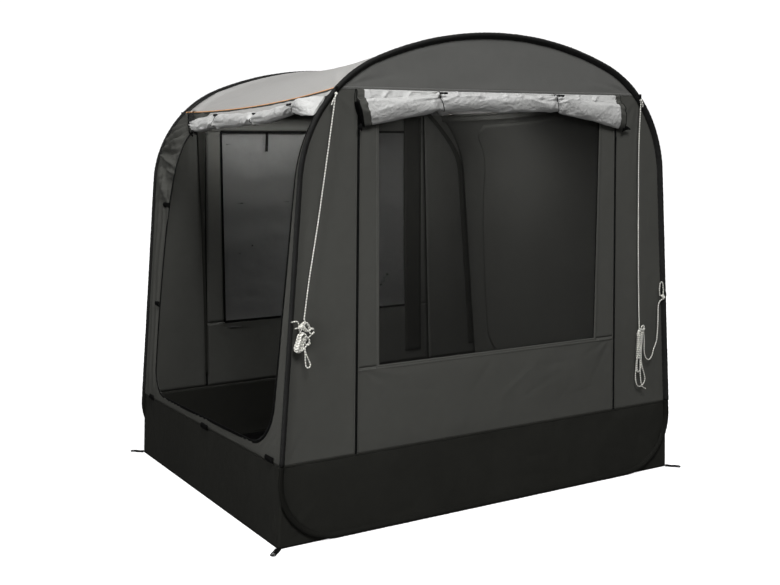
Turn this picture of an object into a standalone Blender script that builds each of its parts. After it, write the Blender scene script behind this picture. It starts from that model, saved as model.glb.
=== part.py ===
"""Pop-up van tent: two sprung steel hoops in sleeves, joined by cloth walls, a roof and mud walls.

Metres, +Z up. The origin is the middle of the footprint on the ground. The front face lies at -Y and
the door side at -X. The hoops stand in two upright planes, and every sheet runs between them.
"""

import math

import bmesh
import bpy
from mathutils import Vector

# Hoops: centre line of the sleeve
DEPTH = 1.614
FRONT_HEIGHT = 2.05
BACK_HEIGHT = 1.97
SLEEVE_RADIUS = 0.009
LEG_LEAN = math.radians(4.78)
LEG_OFFSET = 1.0764
CORNER_RADIUS = 0.2566
SHOULDER_RADIUS = 0.562
CROWN_RADIUS = 1.647

# Cloth
CLOTH = 0.003
GAP = 0.0003
SEAM_GAP = 0.0008
BASE_HALF_WIDTH = 1.065
MUD_TOP_FRONT = 0.335
MUD_TOP_BACK = 0.307
SEAM_HEIGHT = 1.816
ROOF_SAG = 0.03

# Window and zips of the front face, as seen from the front
WINDOW_LEFT = -0.60
WINDOW_RIGHT = 0.575
WINDOW_BOTTOM = 0.693
WINDOW_TOP = 1.74
BACK_WINDOW_BOTTOM = 0.645
BACK_WINDOW_TOP = 1.65
ZIP_WIDTH = 0.014
ZIP_LEFT_TOP = -0.687
ZIP_LEFT_FOOT = -0.708
ZIP_RIGHT_TOP = 0.665
ZIP_RIGHT_FOOT = 0.706

# Side door, as places along Y and heights
DOOR_FOOT_FRONT = 0.385
DOOR_FOOT_BACK = 0.347
DOOR_HEAD_FRONT = 1.755
DOOR_HEAD_BACK = 1.69
DOOR_FRONT_FOOT = -0.69
DOOR_FRONT_HEAD = -0.775
DOOR_BACK_EDGE = 0.645
DOOR_BACK_CURVE = 0.175
DOOR_CURVE_START = 0.65
DOOR_FRONT_CORNER = 0.20
DOOR_BACK_CORNER = 0.13
DOOR_ZIP_RADIUS = 0.003
DOOR_ZIP_MARGIN = 0.007
DOOR_ZIP_SPACING = 0.045

# Closed cover on the outside of the back window
COVER_OVERLAP = 0.045
COVER_HEAD_MARGIN = 0.01

# Rolled front cover and rolled side door; their lower edges as (place along the roll, height)
COVER_HALF_DEPTH = 0.024
COVER_TOP = 1.811
COVER_LOWER_EDGE = (
    (-0.718, 1.655),
    (-0.465, 1.702),
    (-0.314, 1.728),
    (0.305, 1.731),
    (0.512, 1.695),
    (0.715, 1.655),
)
DOOR_ROLL_HALF_HEIGHT = 0.046
DOOR_ROLL_HALF_DEPTH = 0.028
DOOR_ROLL_LIFT = 0.0006
DOOR_ROLL_LOWER_EDGE = (
    (-0.77, 1.702),
    (-0.612, 1.712),
    (-0.457, 1.690),
    (-0.155, 1.669),
    (0.136, 1.671),
    (0.40, 1.636),
)

# Barrel toggles and where they lie along the rolls
TOGGLE_RADIUS = 0.005
TOGGLE_LENGTH = 0.038
TOGGLE_SEAT = math.radians(45)
FRONT_TOGGLES = (("front_toggle_left", -0.316), ("front_toggle_right", 0.302))
LEFT_TOGGLES = (
    ("left_toggle_front", -0.59),
    ("left_toggle_middle", -0.229),
    ("left_toggle_back", 0.195),
)

# Webbing loops
PEG_LOOP_LENGTH = 0.075
PEG_LOOP_WIDTH = 0.025
PEG_HOLE_RADIUS = 0.0065
GUY_LOOP_X = 0.803
GUY_LOOP_Z = 1.806
GUY_LOOP_WIDTH = 0.022
GUY_LOOP_HEIGHT = 0.034
GUY_LOOP_DEPTH = 0.004

# Guy ropes: routes as (x, z), and each hank as its middle, foot and head
ROPE_RADIUS = 0.0025
ROPE_SPACING = 6 * ROPE_RADIUS
HANK_WIDTH = 0.044
HANK_DEPTH = 0.034
LEFT_ROPE = ((-0.803, 1.788), (-0.842, 1.55), (-0.884, 1.30), (-0.925, 1.08), (-0.957, 0.9058))
RIGHT_ROPE = ((0.803, 1.788), (0.799, 1.60), (0.808, 1.30), (0.821, 1.00), (0.838, 0.7208))
LEFT_HANK = (-0.957, 0.733, 0.905)
RIGHT_HANK = (0.838, 0.430, 0.720)
LEFT_TAIL = ((-0.9685, 0.9052), (-0.976, 0.913), (-0.988, 0.917), (-1.0045, 0.914))
RIGHT_TAIL = (
    (0.8629, 0.700),
    (0.870, 0.640),
    (0.884, 0.582),
    (0.907, 0.562),
    (0.930, 0.585),
    (0.944, 0.650),
    (0.950, 0.750),
    (0.962, 0.828),
    (0.9965, 0.850),
)

# Finishes: base colour, roughness
DARK_CLOTH = ((0.062, 0.062, 0.055, 1.0), 0.8)
MUD_CLOTH = ((0.016, 0.016, 0.014, 1.0), 0.7)
ROOF_CLOTH = ((0.43, 0.43, 0.41, 1.0), 0.7)
SILVER_CLOTH = ((0.42, 0.42, 0.41, 1.0), 0.55)
GROUND_CLOTH = ((0.01, 0.01, 0.01, 1.0), 0.7)
MESH_CLOTH = ((0.03, 0.03, 0.028, 1.0), 0.8)
SLEEVE_CLOTH = ((0.012, 0.012, 0.012, 1.0), 0.7)
ZIP_FINISH = ((0.008, 0.008, 0.008, 1.0), 0.5)
WEBBING = ((0.01, 0.01, 0.01, 1.0), 0.75)
ROPE_FINISH = ((0.68, 0.68, 0.62, 1.0), 0.8)

# Planes and scales that follow from the sizes above
FACE = DEPTH / 2 - SLEEVE_RADIUS - GAP
INNER_FACE = FACE - CLOTH
SPAN = INNER_FACE - SEAM_GAP
SHEET_INSET = 0.3 * SLEEVE_RADIUS
BACK_SCALE = (BACK_HEIGHT - SLEEVE_RADIUS) / (FRONT_HEIGHT - SLEEVE_RADIUS)
ROPE_Y = -(DEPTH / 2 + SLEEVE_RADIUS + ROPE_RADIUS + GAP)

# How finely the curved pieces are divided
LEG_SHARE = 0.76
RING_STEPS = 28
ROLL_STEPS = 18
ROUND_END_STEPS = 8
SMOOTH_STEPS = 24
SHARP_ANGLE = math.radians(50)
CUTTER_REACH = (0.5, 1.3)

PARTS = "van_tent"
CUTTERS = "cutters"


def clear_scene():
    for obj in list(bpy.data.objects):
        bpy.data.objects.remove(obj, do_unlink=True)
    for collection in list(bpy.data.collections):
        bpy.data.collections.remove(collection)


def make_collection(name, helper=False):
    collection = bpy.data.collections.new(name)
    bpy.context.scene.collection.children.link(collection)
    collection.hide_render = helper


def give_finish(obj, finish):
    colour, roughness = finish
    material = bpy.data.materials.new(obj.name + "_finish")
    material.use_nodes = True
    shader = material.node_tree.nodes["Principled BSDF"]
    shader.inputs["Base Color"].default_value = colour
    shader.inputs["Roughness"].default_value = roughness
    shader.inputs["Metallic"].default_value = 0.0
    material.diffuse_color = colour
    obj.data.materials.append(material)


def add_part(name, data, finish):
    obj = bpy.data.objects.new(name, data)
    bpy.data.collections[PARTS].objects.link(obj)
    give_finish(obj, finish)
    return obj


def poly_spline(curve, points, cyclic):
    spline = curve.splines.new("POLY")
    spline.points.add(len(points) - 1)
    for target, point in zip(spline.points, points):
        target.co = (*point, 1.0)
    spline.use_cyclic_u = cyclic


def tube(name, points, radius, finish, cyclic=False, resolution=2):
    """A round tube along points in space."""
    curve = bpy.data.curves.new(name, "CURVE")
    curve.dimensions = "3D"
    curve.bevel_depth = radius
    curve.bevel_resolution = resolution
    curve.use_fill_caps = not cyclic
    poly_spline(curve, points, cyclic)
    return add_part(name, curve, finish)


def flat_outline(name, outlines, thickness, finish):
    """A flat sheet from outlines in its own plane; each outline after the first is a hole."""
    curve = bpy.data.curves.new(name, "CURVE")
    curve.dimensions = "2D"
    curve.fill_mode = "BOTH"
    curve.extrude = thickness / 2
    for outline in outlines:
        poly_spline(curve, [(x, y, 0.0) for x, y in outline], True)
    return add_part(name, curve, finish)


def upright_sheet(name, outlines, y, thickness, finish):
    """A flat sheet that stands in the plane at y, with its outlines given as (x, z)."""
    obj = flat_outline(name, outlines, thickness, finish)
    obj.rotation_euler = (math.pi / 2, 0, 0)
    obj.location = (0, y, 0)
    return obj


def mesh_part(name, mesh_builder, finish):
    mesh = bpy.data.meshes.new(name)
    mesh_builder.to_mesh(mesh)
    mesh_builder.free()
    return add_part(name, mesh, finish)


def fill_between(build, first, second, closed=False):
    count = len(first)
    for i in range(count if closed else count - 1):
        j = (i + 1) % count
        build.faces.new((first[i], first[j], second[j], second[i]))


def shell(name, rows, finish):
    """Cloth of even thickness on an open surface given as rows of points, thickened inwards."""
    build = bmesh.new()
    lines = [[build.verts.new(point) for point in row] for row in rows]
    for first, second in zip(lines, lines[1:]):
        fill_between(build, first, second)
    obj = mesh_part(name, build, finish)
    thickness = obj.modifiers.new("cloth", "SOLIDIFY")
    thickness.thickness = CLOTH
    thickness.offset = -1
    return obj


def loft(name, rings, finish):
    """A closed body through rings of points, with both ends capped."""
    build = bmesh.new()
    lines = [[build.verts.new(point) for point in ring] for ring in rings]
    for first, second in zip(lines, lines[1:]):
        fill_between(build, first, second, closed=True)
    build.faces.new(lines[0])
    build.faces.new(lines[-1])
    bmesh.ops.recalc_face_normals(build, faces=build.faces)
    obj = mesh_part(name, build, finish)
    obj.data.shade_smooth()
    obj.data.set_sharp_from_angle(angle=SHARP_ANGLE)
    return obj


def door_cutter(name, outline, hand):
    """A prism along X, on one side of the tent, whose section is an outline in (y, z)."""
    start, end = CUTTER_REACH
    build = bmesh.new()
    corners = [build.verts.new((hand * start, y, z)) for y, z in outline]
    face = build.faces.new(corners)
    grown = bmesh.ops.extrude_face_region(build, geom=[face])
    moved = [item for item in grown["geom"] if isinstance(item, bmesh.types.BMVert)]
    bmesh.ops.translate(build, verts=moved, vec=(hand * (end - start), 0, 0))
    bmesh.ops.recalc_face_normals(build, faces=build.faces)
    mesh = bpy.data.meshes.new(name)
    build.to_mesh(mesh)
    build.free()
    obj = bpy.data.objects.new(name, mesh)
    obj.hide_render = True
    obj.display_type = "WIRE"
    bpy.data.collections[CUTTERS].objects.link(obj)
    return obj


def apply_boolean(obj, cutter, operation):
    boolean = obj.modifiers.new(operation.lower(), "BOOLEAN")
    boolean.operation = operation
    boolean.solver = "EXACT"
    boolean.object = cutter


# Shape of a hoop


def leg_direction():
    across = Vector((math.cos(LEG_LEAN), math.sin(LEG_LEAN)))
    along = Vector((-math.sin(LEG_LEAN), math.cos(LEG_LEAN)))
    return across, along


def crown_centre():
    return Vector((0.0, FRONT_HEIGHT - CROWN_RADIUS))


def shoulder_centre():
    """The shoulder arc touches the leg and the crown arc."""
    across, along = leg_direction()
    foot = across * (LEG_OFFSET - SHOULDER_RADIUS)
    to_foot = foot - crown_centre()
    reach = CROWN_RADIUS - SHOULDER_RADIUS
    shift = to_foot.dot(along)
    return foot + along * (-shift + math.sqrt(reach**2 - to_foot.length_squared + shift**2))


def corner_centre():
    """The corner arc touches the ground run and the leg."""
    height = SLEEVE_RADIUS + CORNER_RADIUS
    across = LEG_OFFSET - CORNER_RADIUS
    return Vector(((across - height * math.sin(LEG_LEAN)) / math.cos(LEG_LEAN), height))


def crown_turn():
    """The angle of the outward normal where the shoulder arc meets the crown arc."""
    join = shoulder_centre() - crown_centre()
    return math.atan2(join.y, join.x)


def arc_point(turn, inset):
    """The point of the half outline whose outward normal has this angle, above the leg."""
    normal = Vector((math.cos(turn), math.sin(turn)))
    if turn < crown_turn():
        return shoulder_centre() + normal * (SHOULDER_RADIUS - inset)
    return crown_centre() + normal * (CROWN_RADIUS - inset)


def shoulder_turn(height, inset=0.0):
    return math.asin((height - shoulder_centre().y) / (SHOULDER_RADIUS - inset))


def half_width(height, inset=0.0):
    """Distance from the middle to the front hoop at this height, on the leg or the shoulder."""
    centre = shoulder_centre()
    radius = SHOULDER_RADIUS - inset
    if height > centre.y + radius * math.sin(LEG_LEAN):
        return centre.x + math.sqrt(radius**2 - (height - centre.y) ** 2)
    return (LEG_OFFSET - inset - height * math.sin(LEG_LEAN)) / math.cos(LEG_LEAN)


def drop(height):
    """The height on the back hoop of a point at this height on the front hoop."""
    return SLEEVE_RADIUS + (height - SLEEVE_RADIUS) * BACK_SCALE


def rise(height):
    return SLEEVE_RADIUS + (height - SLEEVE_RADIUS) / BACK_SCALE


def hoop_line():
    """The closed centre line of the front hoop, as (x, z)."""
    corner = corner_centre()
    right = []
    steps = 7
    for i in range(steps + 1):
        turn = -math.pi / 2 + (LEG_LEAN + math.pi / 2) * i / steps
        right.append(corner + Vector((math.cos(turn), math.sin(turn))) * CORNER_RADIUS)
    steps = 20
    for i in range(steps + 1):
        turn = LEG_LEAN + (math.pi / 2 - LEG_LEAN) * i / steps
        right.append(arc_point(turn, 0.0))
    left = [Vector((-point.x, point.y)) for point in reversed(right[:-1])]
    return right + left


SEAM_TURN = shoulder_turn(SEAM_HEIGHT, SHEET_INSET)


# Ends of the tent


def make_hoop(name, side):
    points = []
    for point in hoop_line():
        height = point.y if side < 0 else drop(point.y)
        points.append((point.x, side * DEPTH / 2, height))
    tube(name, points, SLEEVE_RADIUS, SLEEVE_CLOTH, cyclic=True, resolution=4)


def edge_line(low, high, inset):
    """Points of the right-hand sheet edge between two heights below the roof seam, going up."""
    tangent = shoulder_centre().y + SHOULDER_RADIUS * math.sin(LEG_LEAN)
    first = shoulder_turn(tangent)
    last = shoulder_turn(high)
    steps = 6
    points = [(half_width(low, inset), low)]
    for i in range(steps):
        height = shoulder_centre().y + SHOULDER_RADIUS * math.sin(first + (last - first) * i / steps)
        points.append((half_width(height, inset), height))
    points.append((half_width(high, inset), high))
    return points


def gable_outline():
    first = shoulder_turn(SEAM_HEIGHT + GAP, SHEET_INSET)
    steps = 16
    points = []
    for i in range(steps + 1):
        turn = first + (math.pi - 2 * first) * i / steps
        over = turn > math.pi / 2
        point = arc_point(math.pi - turn if over else turn, SHEET_INSET)
        points.append((-point.x if over else point.x, point.y))
    return points


def zip_x(side, height):
    """Middle of the left (-1) or right (+1) zip at this height."""
    top, foot = (ZIP_LEFT_TOP, ZIP_LEFT_FOOT) if side < 0 else (ZIP_RIGHT_TOP, ZIP_RIGHT_FOOT)
    share = (height - MUD_TOP_FRONT) / (SEAM_HEIGHT - MUD_TOP_FRONT)
    return foot + (top - foot) * share


def mirrored(outline):
    return [(-x, z) for x, z in reversed(outline)]


def lay_sheet(name, outlines, side, finish, face=FACE):
    """A sheet of an end wall. Heights are those of the front face, and the back hoop is lower."""
    if side > 0:
        outlines = [[(x, drop(z)) for x, z in outline] for outline in outlines]
    upright_sheet(name, outlines, side * (face - CLOTH / 2), CLOTH, finish)


def make_end(prefix, side, mud_top, window_bottom, window_top):
    """One end wall: mud wall, side panels, zips, window surround, window and gable."""
    low = mud_top + GAP
    high = SEAM_HEIGHT - GAP
    mud_edge = half_width(mud_top, SHEET_INSET)
    mud = [(-BASE_HALF_WIDTH, 0), (BASE_HALF_WIDTH, 0), (mud_edge, mud_top), (-mud_edge, mud_top)]
    if side > 0:
        mud = [(x, rise(z)) if z else (x, rise(0)) for x, z in mud]
        low = rise(mud_top) + GAP
    lay_sheet(f"{prefix}_mud_wall", [mud], side, MUD_CLOTH)
    lay_sheet(f"{prefix}_gable", [gable_outline()], side, DARK_CLOTH)
    edge = edge_line(low, high, SHEET_INSET)
    half = ZIP_WIDTH / 2
    for hand, end in (("right", 1), ("left", -1)):
        top = abs(zip_x(end, high))
        foot = abs(zip_x(end, low))
        panel = edge + [(top + half + GAP, high), (foot + half + GAP, low)]
        strip = [(foot - half, low), (foot + half, low), (top + half, high), (top - half, high)]
        if end < 0:
            panel, strip = mirrored(panel), mirrored(strip)
        lay_sheet(f"{prefix}_panel_{hand}", [panel], side, DARK_CLOTH)
        lay_sheet(f"{prefix}_zip_{hand}", [strip], side, ZIP_FINISH)
    inner = half + GAP
    surround = [
        (zip_x(-1, low) + inner, low),
        (zip_x(1, low) - inner, low),
        (zip_x(1, high) - inner, high),
        (zip_x(-1, high) + inner, high),
    ]
    window = [
        (WINDOW_LEFT, window_bottom),
        (WINDOW_RIGHT, window_bottom),
        (WINDOW_RIGHT, window_top),
        (WINDOW_LEFT, window_top),
    ]
    centre = Vector((sum(x for x, z in window) / 4, sum(z for x, z in window) / 4))
    net = []
    for x, z in window:
        net.append((x + math.copysign(GAP, centre.x - x), z + math.copysign(GAP, centre.y - z)))
    lay_sheet(f"{prefix}_window_surround", [surround, window], side, DARK_CLOTH)
    lay_sheet(f"{prefix}_window_mesh", [net], side, MESH_CLOTH)


def make_back_cover():
    """The closed cover that lies on the outside of the back window."""
    low = rise(BACK_WINDOW_BOTTOM) - COVER_OVERLAP
    high = SEAM_HEIGHT - COVER_HEAD_MARGIN
    outline = [
        (WINDOW_LEFT - COVER_OVERLAP, low),
        (WINDOW_RIGHT + COVER_OVERLAP, low),
        (WINDOW_RIGHT + COVER_OVERLAP, high),
        (WINDOW_LEFT - COVER_OVERLAP, high),
    ]
    lay_sheet("back_cover", [outline], 1, DARK_CLOTH, face=FACE + GAP + CLOTH)


# Sides and roof


def sag_at(y, weight):
    return ROOF_SAG * weight * (1 - (y / (DEPTH / 2)) ** 2)


def skin_row(front, back, turn, weight, hand):
    """Points from the front hoop to the back hoop, pulled inwards in the middle of the span."""
    steps = 8
    row = []
    for i in range(steps + 1):
        y = -SPAN + 2 * SPAN * i / steps
        share = (y + DEPTH / 2) / DEPTH
        sag = sag_at(y, weight)
        x = front[0] + (back[0] - front[0]) * share - sag * math.cos(turn)
        z = front[1] + (back[1] - front[1]) * share - sag * math.sin(turn)
        row.append((hand * x, y, z))
    return row


def wall_station(share):
    """Front point, back point, outward angle and sag weight at this share of a side wall's height."""
    front_height = MUD_TOP_FRONT + SEAM_GAP + (SEAM_HEIGHT - MUD_TOP_FRONT - SEAM_GAP) * share
    back_low = rise(MUD_TOP_BACK + SEAM_GAP)
    back_height = back_low + (SEAM_HEIGHT - back_low) * share
    front = (half_width(front_height, SHEET_INSET), front_height)
    back = (half_width(back_height, SHEET_INSET), drop(back_height))
    turn = max(LEG_LEAN, shoulder_turn(max(front_height, shoulder_centre().y)))
    return front, back, turn, share**2


def wall_rows(hand):
    """A side wall's rows, with more of them on the shoulder than on the straight leg."""
    leg_steps = 4
    shoulder_steps = 8
    shares = [LEG_SHARE * i / leg_steps for i in range(leg_steps)]
    shares += [LEG_SHARE + (1 - LEG_SHARE) * i / shoulder_steps for i in range(shoulder_steps + 1)]
    rows = [skin_row(*wall_station(share), hand) for share in shares]
    return rows if hand > 0 else list(reversed(rows))


def wall_place(y, height, hand, lift=0.0):
    """The point of a side wall's outer face at y and about this height, lifted off along its normal."""
    share_back = (y + DEPTH / 2) / DEPTH
    low = MUD_TOP_FRONT + (MUD_TOP_BACK - MUD_TOP_FRONT) * share_back
    high = SEAM_HEIGHT + (drop(SEAM_HEIGHT) - SEAM_HEIGHT) * share_back
    front, back, turn, weight = wall_station((height - low) / (high - low))
    out = lift - sag_at(y, weight)
    x = front[0] + (back[0] - front[0]) * share_back + out * math.cos(turn)
    z = front[1] + (back[1] - front[1]) * share_back + out * math.sin(turn)
    return Vector((hand * x, y, z)), turn


def make_roof():
    steps = 22
    first = SEAM_TURN + SEAM_GAP / SHOULDER_RADIUS
    rows = []
    for i in range(steps + 1):
        turn = first + (math.pi - 2 * first) * i / steps
        hand = -1 if turn > math.pi / 2 else 1
        point = arc_point(math.pi - turn if hand < 0 else turn, SHEET_INSET)
        front = (hand * point.x, point.y)
        back = (hand * point.x, drop(point.y))
        rows.append(skin_row(front, back, turn, 1.0, 1))
    shell("roof", rows, ROOF_CLOTH)


def make_mud_side(name, hand):
    corners = []
    for y, top in ((-SPAN, MUD_TOP_FRONT), (SPAN, rise(MUD_TOP_BACK))):
        height = top if y < 0 else MUD_TOP_BACK
        edge = half_width(top, SHEET_INSET)
        corners.append([(hand * BASE_HALF_WIDTH, y, 0.0), (hand * edge, y, height)])
    foot = [corners[0][0], corners[1][0]]
    head = [corners[0][1], corners[1][1]]
    shell(name, [foot, head] if hand > 0 else [head, foot], MUD_CLOTH)


def corner_arc(corner, before, after, radius, steps=6):
    """Points of an arc that rounds a corner of an outline in its plane."""
    to_before = (Vector(before) - Vector(corner)).normalized()
    to_after = (Vector(after) - Vector(corner)).normalized()
    half_angle = to_before.angle(to_after) / 2
    tangent = radius / math.tan(half_angle)
    centre = Vector(corner) + (to_before + to_after).normalized() * (radius / math.sin(half_angle))
    start = Vector(corner) + to_before * tangent - centre
    end = Vector(corner) + to_after * tangent - centre
    points = []
    for i in range(steps + 1):
        mix = start.normalized().slerp(end.normalized(), i / steps)
        points.append(tuple(centre + mix * radius))
    return points


def door_outline(margin=0.0):
    """The door opening in (y, z), grown by the margin. It starts and ends at the head."""
    foot_front = (DOOR_FRONT_FOOT - margin, DOOR_FOOT_FRONT - margin)
    foot_back = (DOOR_BACK_EDGE + margin, DOOR_FOOT_BACK - margin)
    head_front = (DOOR_FRONT_HEAD - margin, DOOR_HEAD_FRONT + margin)
    points = [head_front]
    points += corner_arc(foot_front, head_front, foot_back, DOOR_FRONT_CORNER + margin)
    above = (foot_back[0], foot_back[1] + 1.0)
    points += corner_arc(foot_back, foot_front, above, DOOR_BACK_CORNER + margin)
    steps = 8
    head = DOOR_HEAD_BACK + margin
    for i in range(steps + 1):
        height = DOOR_CURVE_START + (head - DOOR_CURVE_START) * i / steps
        pull = DOOR_BACK_CURVE * (height - DOOR_CURVE_START) ** 2
        points.append((DOOR_BACK_EDGE + margin - pull, height))
    return points


def door_route(hand):
    """The line of the door zip on the wall's outer face."""
    lift = DOOR_ZIP_RADIUS + SEAM_GAP
    outline = [Vector(point) for point in door_outline(DOOR_ZIP_MARGIN)]
    route = []
    for first, second in zip(outline, outline[1:]):
        steps = max(1, round((second - first).length / DOOR_ZIP_SPACING))
        for i in range(steps):
            y, z = first.lerp(second, i / steps)
            route.append(wall_place(y, z, hand, lift)[0])
    route.append(wall_place(*outline[-1], hand, lift)[0])
    return route


def make_side(prefix, hand):
    """A side wall with its door opening and the zip round it."""
    wall = shell(f"{prefix}_wall", wall_rows(hand), DARK_CLOTH)
    apply_boolean(wall, door_cutter(f"{prefix}_door_cutter", door_outline(), hand), "DIFFERENCE")
    tube(f"{prefix}_door_zip", door_route(hand), DOOR_ZIP_RADIUS, ZIP_FINISH, resolution=1)
    make_mud_side(f"{prefix}_mud_wall", hand)


def make_closed_door(prefix, hand):
    door = shell(f"{prefix}_door", wall_rows(hand), DARK_CLOTH)
    keep = door_cutter(f"{prefix}_door_keeper", door_outline(-SEAM_GAP), hand)
    apply_boolean(door, keep, "INTERSECT")


def make_groundsheet():
    half_x = BASE_HALF_WIDTH - CLOTH - SEAM_GAP
    half_y = INNER_FACE - GAP
    outline = [(-half_x, -half_y), (half_x, -half_y), (half_x, half_y), (-half_x, half_y)]
    sheet = flat_outline("groundsheet", [outline], CLOTH, GROUND_CLOTH)
    sheet.location = (0, 0, CLOTH / 2)


# Rolled cloth and its toggles


def between(stations, place):
    """Straight-line reading of a value from (place, value) pairs."""
    for (first, low), (second, high) in zip(stations, stations[1:]):
        if first <= place <= second:
            return low + (high - low) * (place - first) / (second - first)
    return stations[0][1] if place < stations[0][0] else stations[-1][1]


def make_cover_roll():
    """The front cover, rolled up under the gable and drooping at its two ends."""
    rings = []
    left, right = COVER_LOWER_EDGE[0][0], COVER_LOWER_EDGE[-1][0]
    for i in range(ROLL_STEPS + 1):
        x = left + (right - left) * i / ROLL_STEPS
        low = between(COVER_LOWER_EDGE, x)
        middle = (COVER_TOP + low) / 2
        half = (COVER_TOP - low) / 2
        y = -(FACE + GAP + COVER_HALF_DEPTH)
        ring = []
        for j in range(RING_STEPS):
            turn = 2 * math.pi * j / RING_STEPS
            ring.append((x, y + COVER_HALF_DEPTH * math.cos(turn), middle + half * math.sin(turn)))
        rings.append(ring)
    loft("front_cover_roll", rings, SILVER_CLOTH)


def door_roll_middle(y):
    """Middle of the rolled door at y, and the lean of the wall behind it."""
    height = between(DOOR_ROLL_LOWER_EDGE, y) + DOOR_ROLL_HALF_HEIGHT
    return wall_place(y, height, -1, DOOR_ROLL_HALF_DEPTH + DOOR_ROLL_LIFT)


def make_door_roll():
    rings = []
    first, last = DOOR_ROLL_LOWER_EDGE[0][0], DOOR_ROLL_LOWER_EDGE[-1][0]
    for i in range(ROLL_STEPS + 1):
        y = first + (last - first) * i / ROLL_STEPS
        middle, turn = door_roll_middle(y)
        outwards = Vector((-math.cos(turn), 0, math.sin(turn)))
        upwards = Vector((math.sin(turn), 0, math.cos(turn)))
        ring = []
        for j in range(RING_STEPS):
            angle = 2 * math.pi * j / RING_STEPS
            across = outwards * (DOOR_ROLL_HALF_DEPTH * math.cos(angle))
            ring.append(middle + across + upwards * (DOOR_ROLL_HALF_HEIGHT * math.sin(angle)))
        rings.append(ring)
    loft("left_door_roll", rings, SILVER_CLOTH)


def make_toggle(name, middle, along):
    """A barrel toggle that lies on the roll it holds."""
    half = Vector(along) * (TOGGLE_LENGTH / 2)
    tube(name, [middle - half, middle + half], TOGGLE_RADIUS, ZIP_FINISH, resolution=4)


def on_ellipse(half_out, half_up, turn, lift):
    """Distances outwards and upwards of a point lifted off an ellipse along its normal."""
    normal = Vector((math.cos(turn) / half_out, math.sin(turn) / half_up)).normalized()
    return half_out * math.cos(turn) + lift * normal.x, half_up * math.sin(turn) + lift * normal.y


def make_toggles():
    lift = TOGGLE_RADIUS + GAP
    for name, x in FRONT_TOGGLES:
        low = between(COVER_LOWER_EDGE, x)
        out, up = on_ellipse(COVER_HALF_DEPTH, (COVER_TOP - low) / 2, TOGGLE_SEAT, lift)
        y = -(FACE + GAP + COVER_HALF_DEPTH + out)
        make_toggle(name, Vector((x, y, (COVER_TOP + low) / 2 + up)), (1, 0, 0))
    for name, y in LEFT_TOGGLES:
        middle, turn = door_roll_middle(y)
        ahead = door_roll_middle(y + TOGGLE_RADIUS)[0]
        behind = door_roll_middle(y - TOGGLE_RADIUS)[0]
        slope = (ahead - behind).normalized()
        outwards = Vector((-math.cos(turn), 0, math.sin(turn)))
        upwards = Vector((math.sin(turn), 0, math.cos(turn)))
        out, up = on_ellipse(DOOR_ROLL_HALF_DEPTH, DOOR_ROLL_HALF_HEIGHT, TOGGLE_SEAT, lift)
        make_toggle(name, middle + outwards * out + upwards * up, slope)


# Webbing loops and guy ropes


def make_peg_loop(name, hand, side):
    """Webbing that lies on the ground and points out of a corner, with a hole for a peg."""
    half = PEG_LOOP_WIDTH / 2
    straight = PEG_LOOP_LENGTH - half
    outline = [(GAP, -half)]
    for i in range(ROUND_END_STEPS + 1):
        turn = -math.pi / 2 + math.pi * i / ROUND_END_STEPS
        outline.append((straight + half * math.cos(turn), half * math.sin(turn)))
    outline.append((GAP, half))
    hole = []
    hole_steps = 10
    for i in range(hole_steps):
        turn = 2 * math.pi * i / hole_steps
        hole.append((straight - PEG_HOLE_RADIUS * math.cos(turn), PEG_HOLE_RADIUS * math.sin(turn)))
    loop = flat_outline(name, [outline, hole], CLOTH, WEBBING)
    loop.rotation_euler = (0, 0, math.atan2(side, hand))
    loop.location = (hand * BASE_HALF_WIDTH, side * FACE, CLOTH / 2)


def smooth_route(points, spacing):
    """Points at an even spacing on a smooth curve through the route's own points."""
    knots = [Vector(point) for point in points]
    padded = [2 * knots[0] - knots[1]] + knots + [2 * knots[-1] - knots[-2]]
    dense = []
    for a, b, c, d in zip(padded, padded[1:], padded[2:], padded[3:]):
        speed = c - a
        bend = 2 * a - 5 * b + 4 * c - d
        twist = 3 * b - a - 3 * c + d
        for i in range(SMOOTH_STEPS):
            t = i / SMOOTH_STEPS
            dense.append(0.5 * (2 * b + speed * t + bend * t**2 + twist * t**3))
    dense.append(knots[-1])
    total = sum((q - p).length for p, q in zip(dense, dense[1:]))
    count = max(2, round(total / spacing))
    picked = [dense[0]]
    travelled = 0.0
    for p, q in zip(dense, dense[1:]):
        step = (q - p).length
        while len(picked) < count and travelled + step >= total * len(picked) / count:
            share = (total * len(picked) / count - travelled) / step
            picked.append(p.lerp(q, share))
        travelled += step
    picked.append(dense[-1])
    return picked


def make_rope(name, route):
    points = smooth_route([(x, ROPE_Y, z) for x, z in route], ROPE_SPACING)
    tube(name, points, ROPE_RADIUS, ROPE_FINISH)


def make_hank(name, place):
    """The gathered spare rope: an upright outline with round ends."""
    x, low, high = place
    half = HANK_WIDTH / 2
    outline = []
    for start, height in ((0, high - half), (math.pi, low + half)):
        for i in range(ROUND_END_STEPS + 1):
            turn = start + math.pi * i / ROUND_END_STEPS
            outline.append((x + half * math.cos(turn), height + half * math.sin(turn)))
    upright_sheet(name, [outline], ROPE_Y, HANK_DEPTH, ROPE_FINISH)


def make_guy_loop(name, hand, side):
    """A webbing tab sewn on the sleeve at the shoulder."""
    half = GUY_LOOP_WIDTH / 2
    middle = GUY_LOOP_Z if side < 0 else drop(GUY_LOOP_Z)
    low, high = middle - GUY_LOOP_HEIGHT / 2, middle + GUY_LOOP_HEIGHT / 2
    x = hand * GUY_LOOP_X
    outline = [(x - half, low), (x + half, low), (x + half, high), (x - half, high)]
    y = side * (DEPTH / 2 + SLEEVE_RADIUS + GAP + GUY_LOOP_DEPTH / 2)
    upright_sheet(name, [outline], y, GUY_LOOP_DEPTH, WEBBING)


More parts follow.
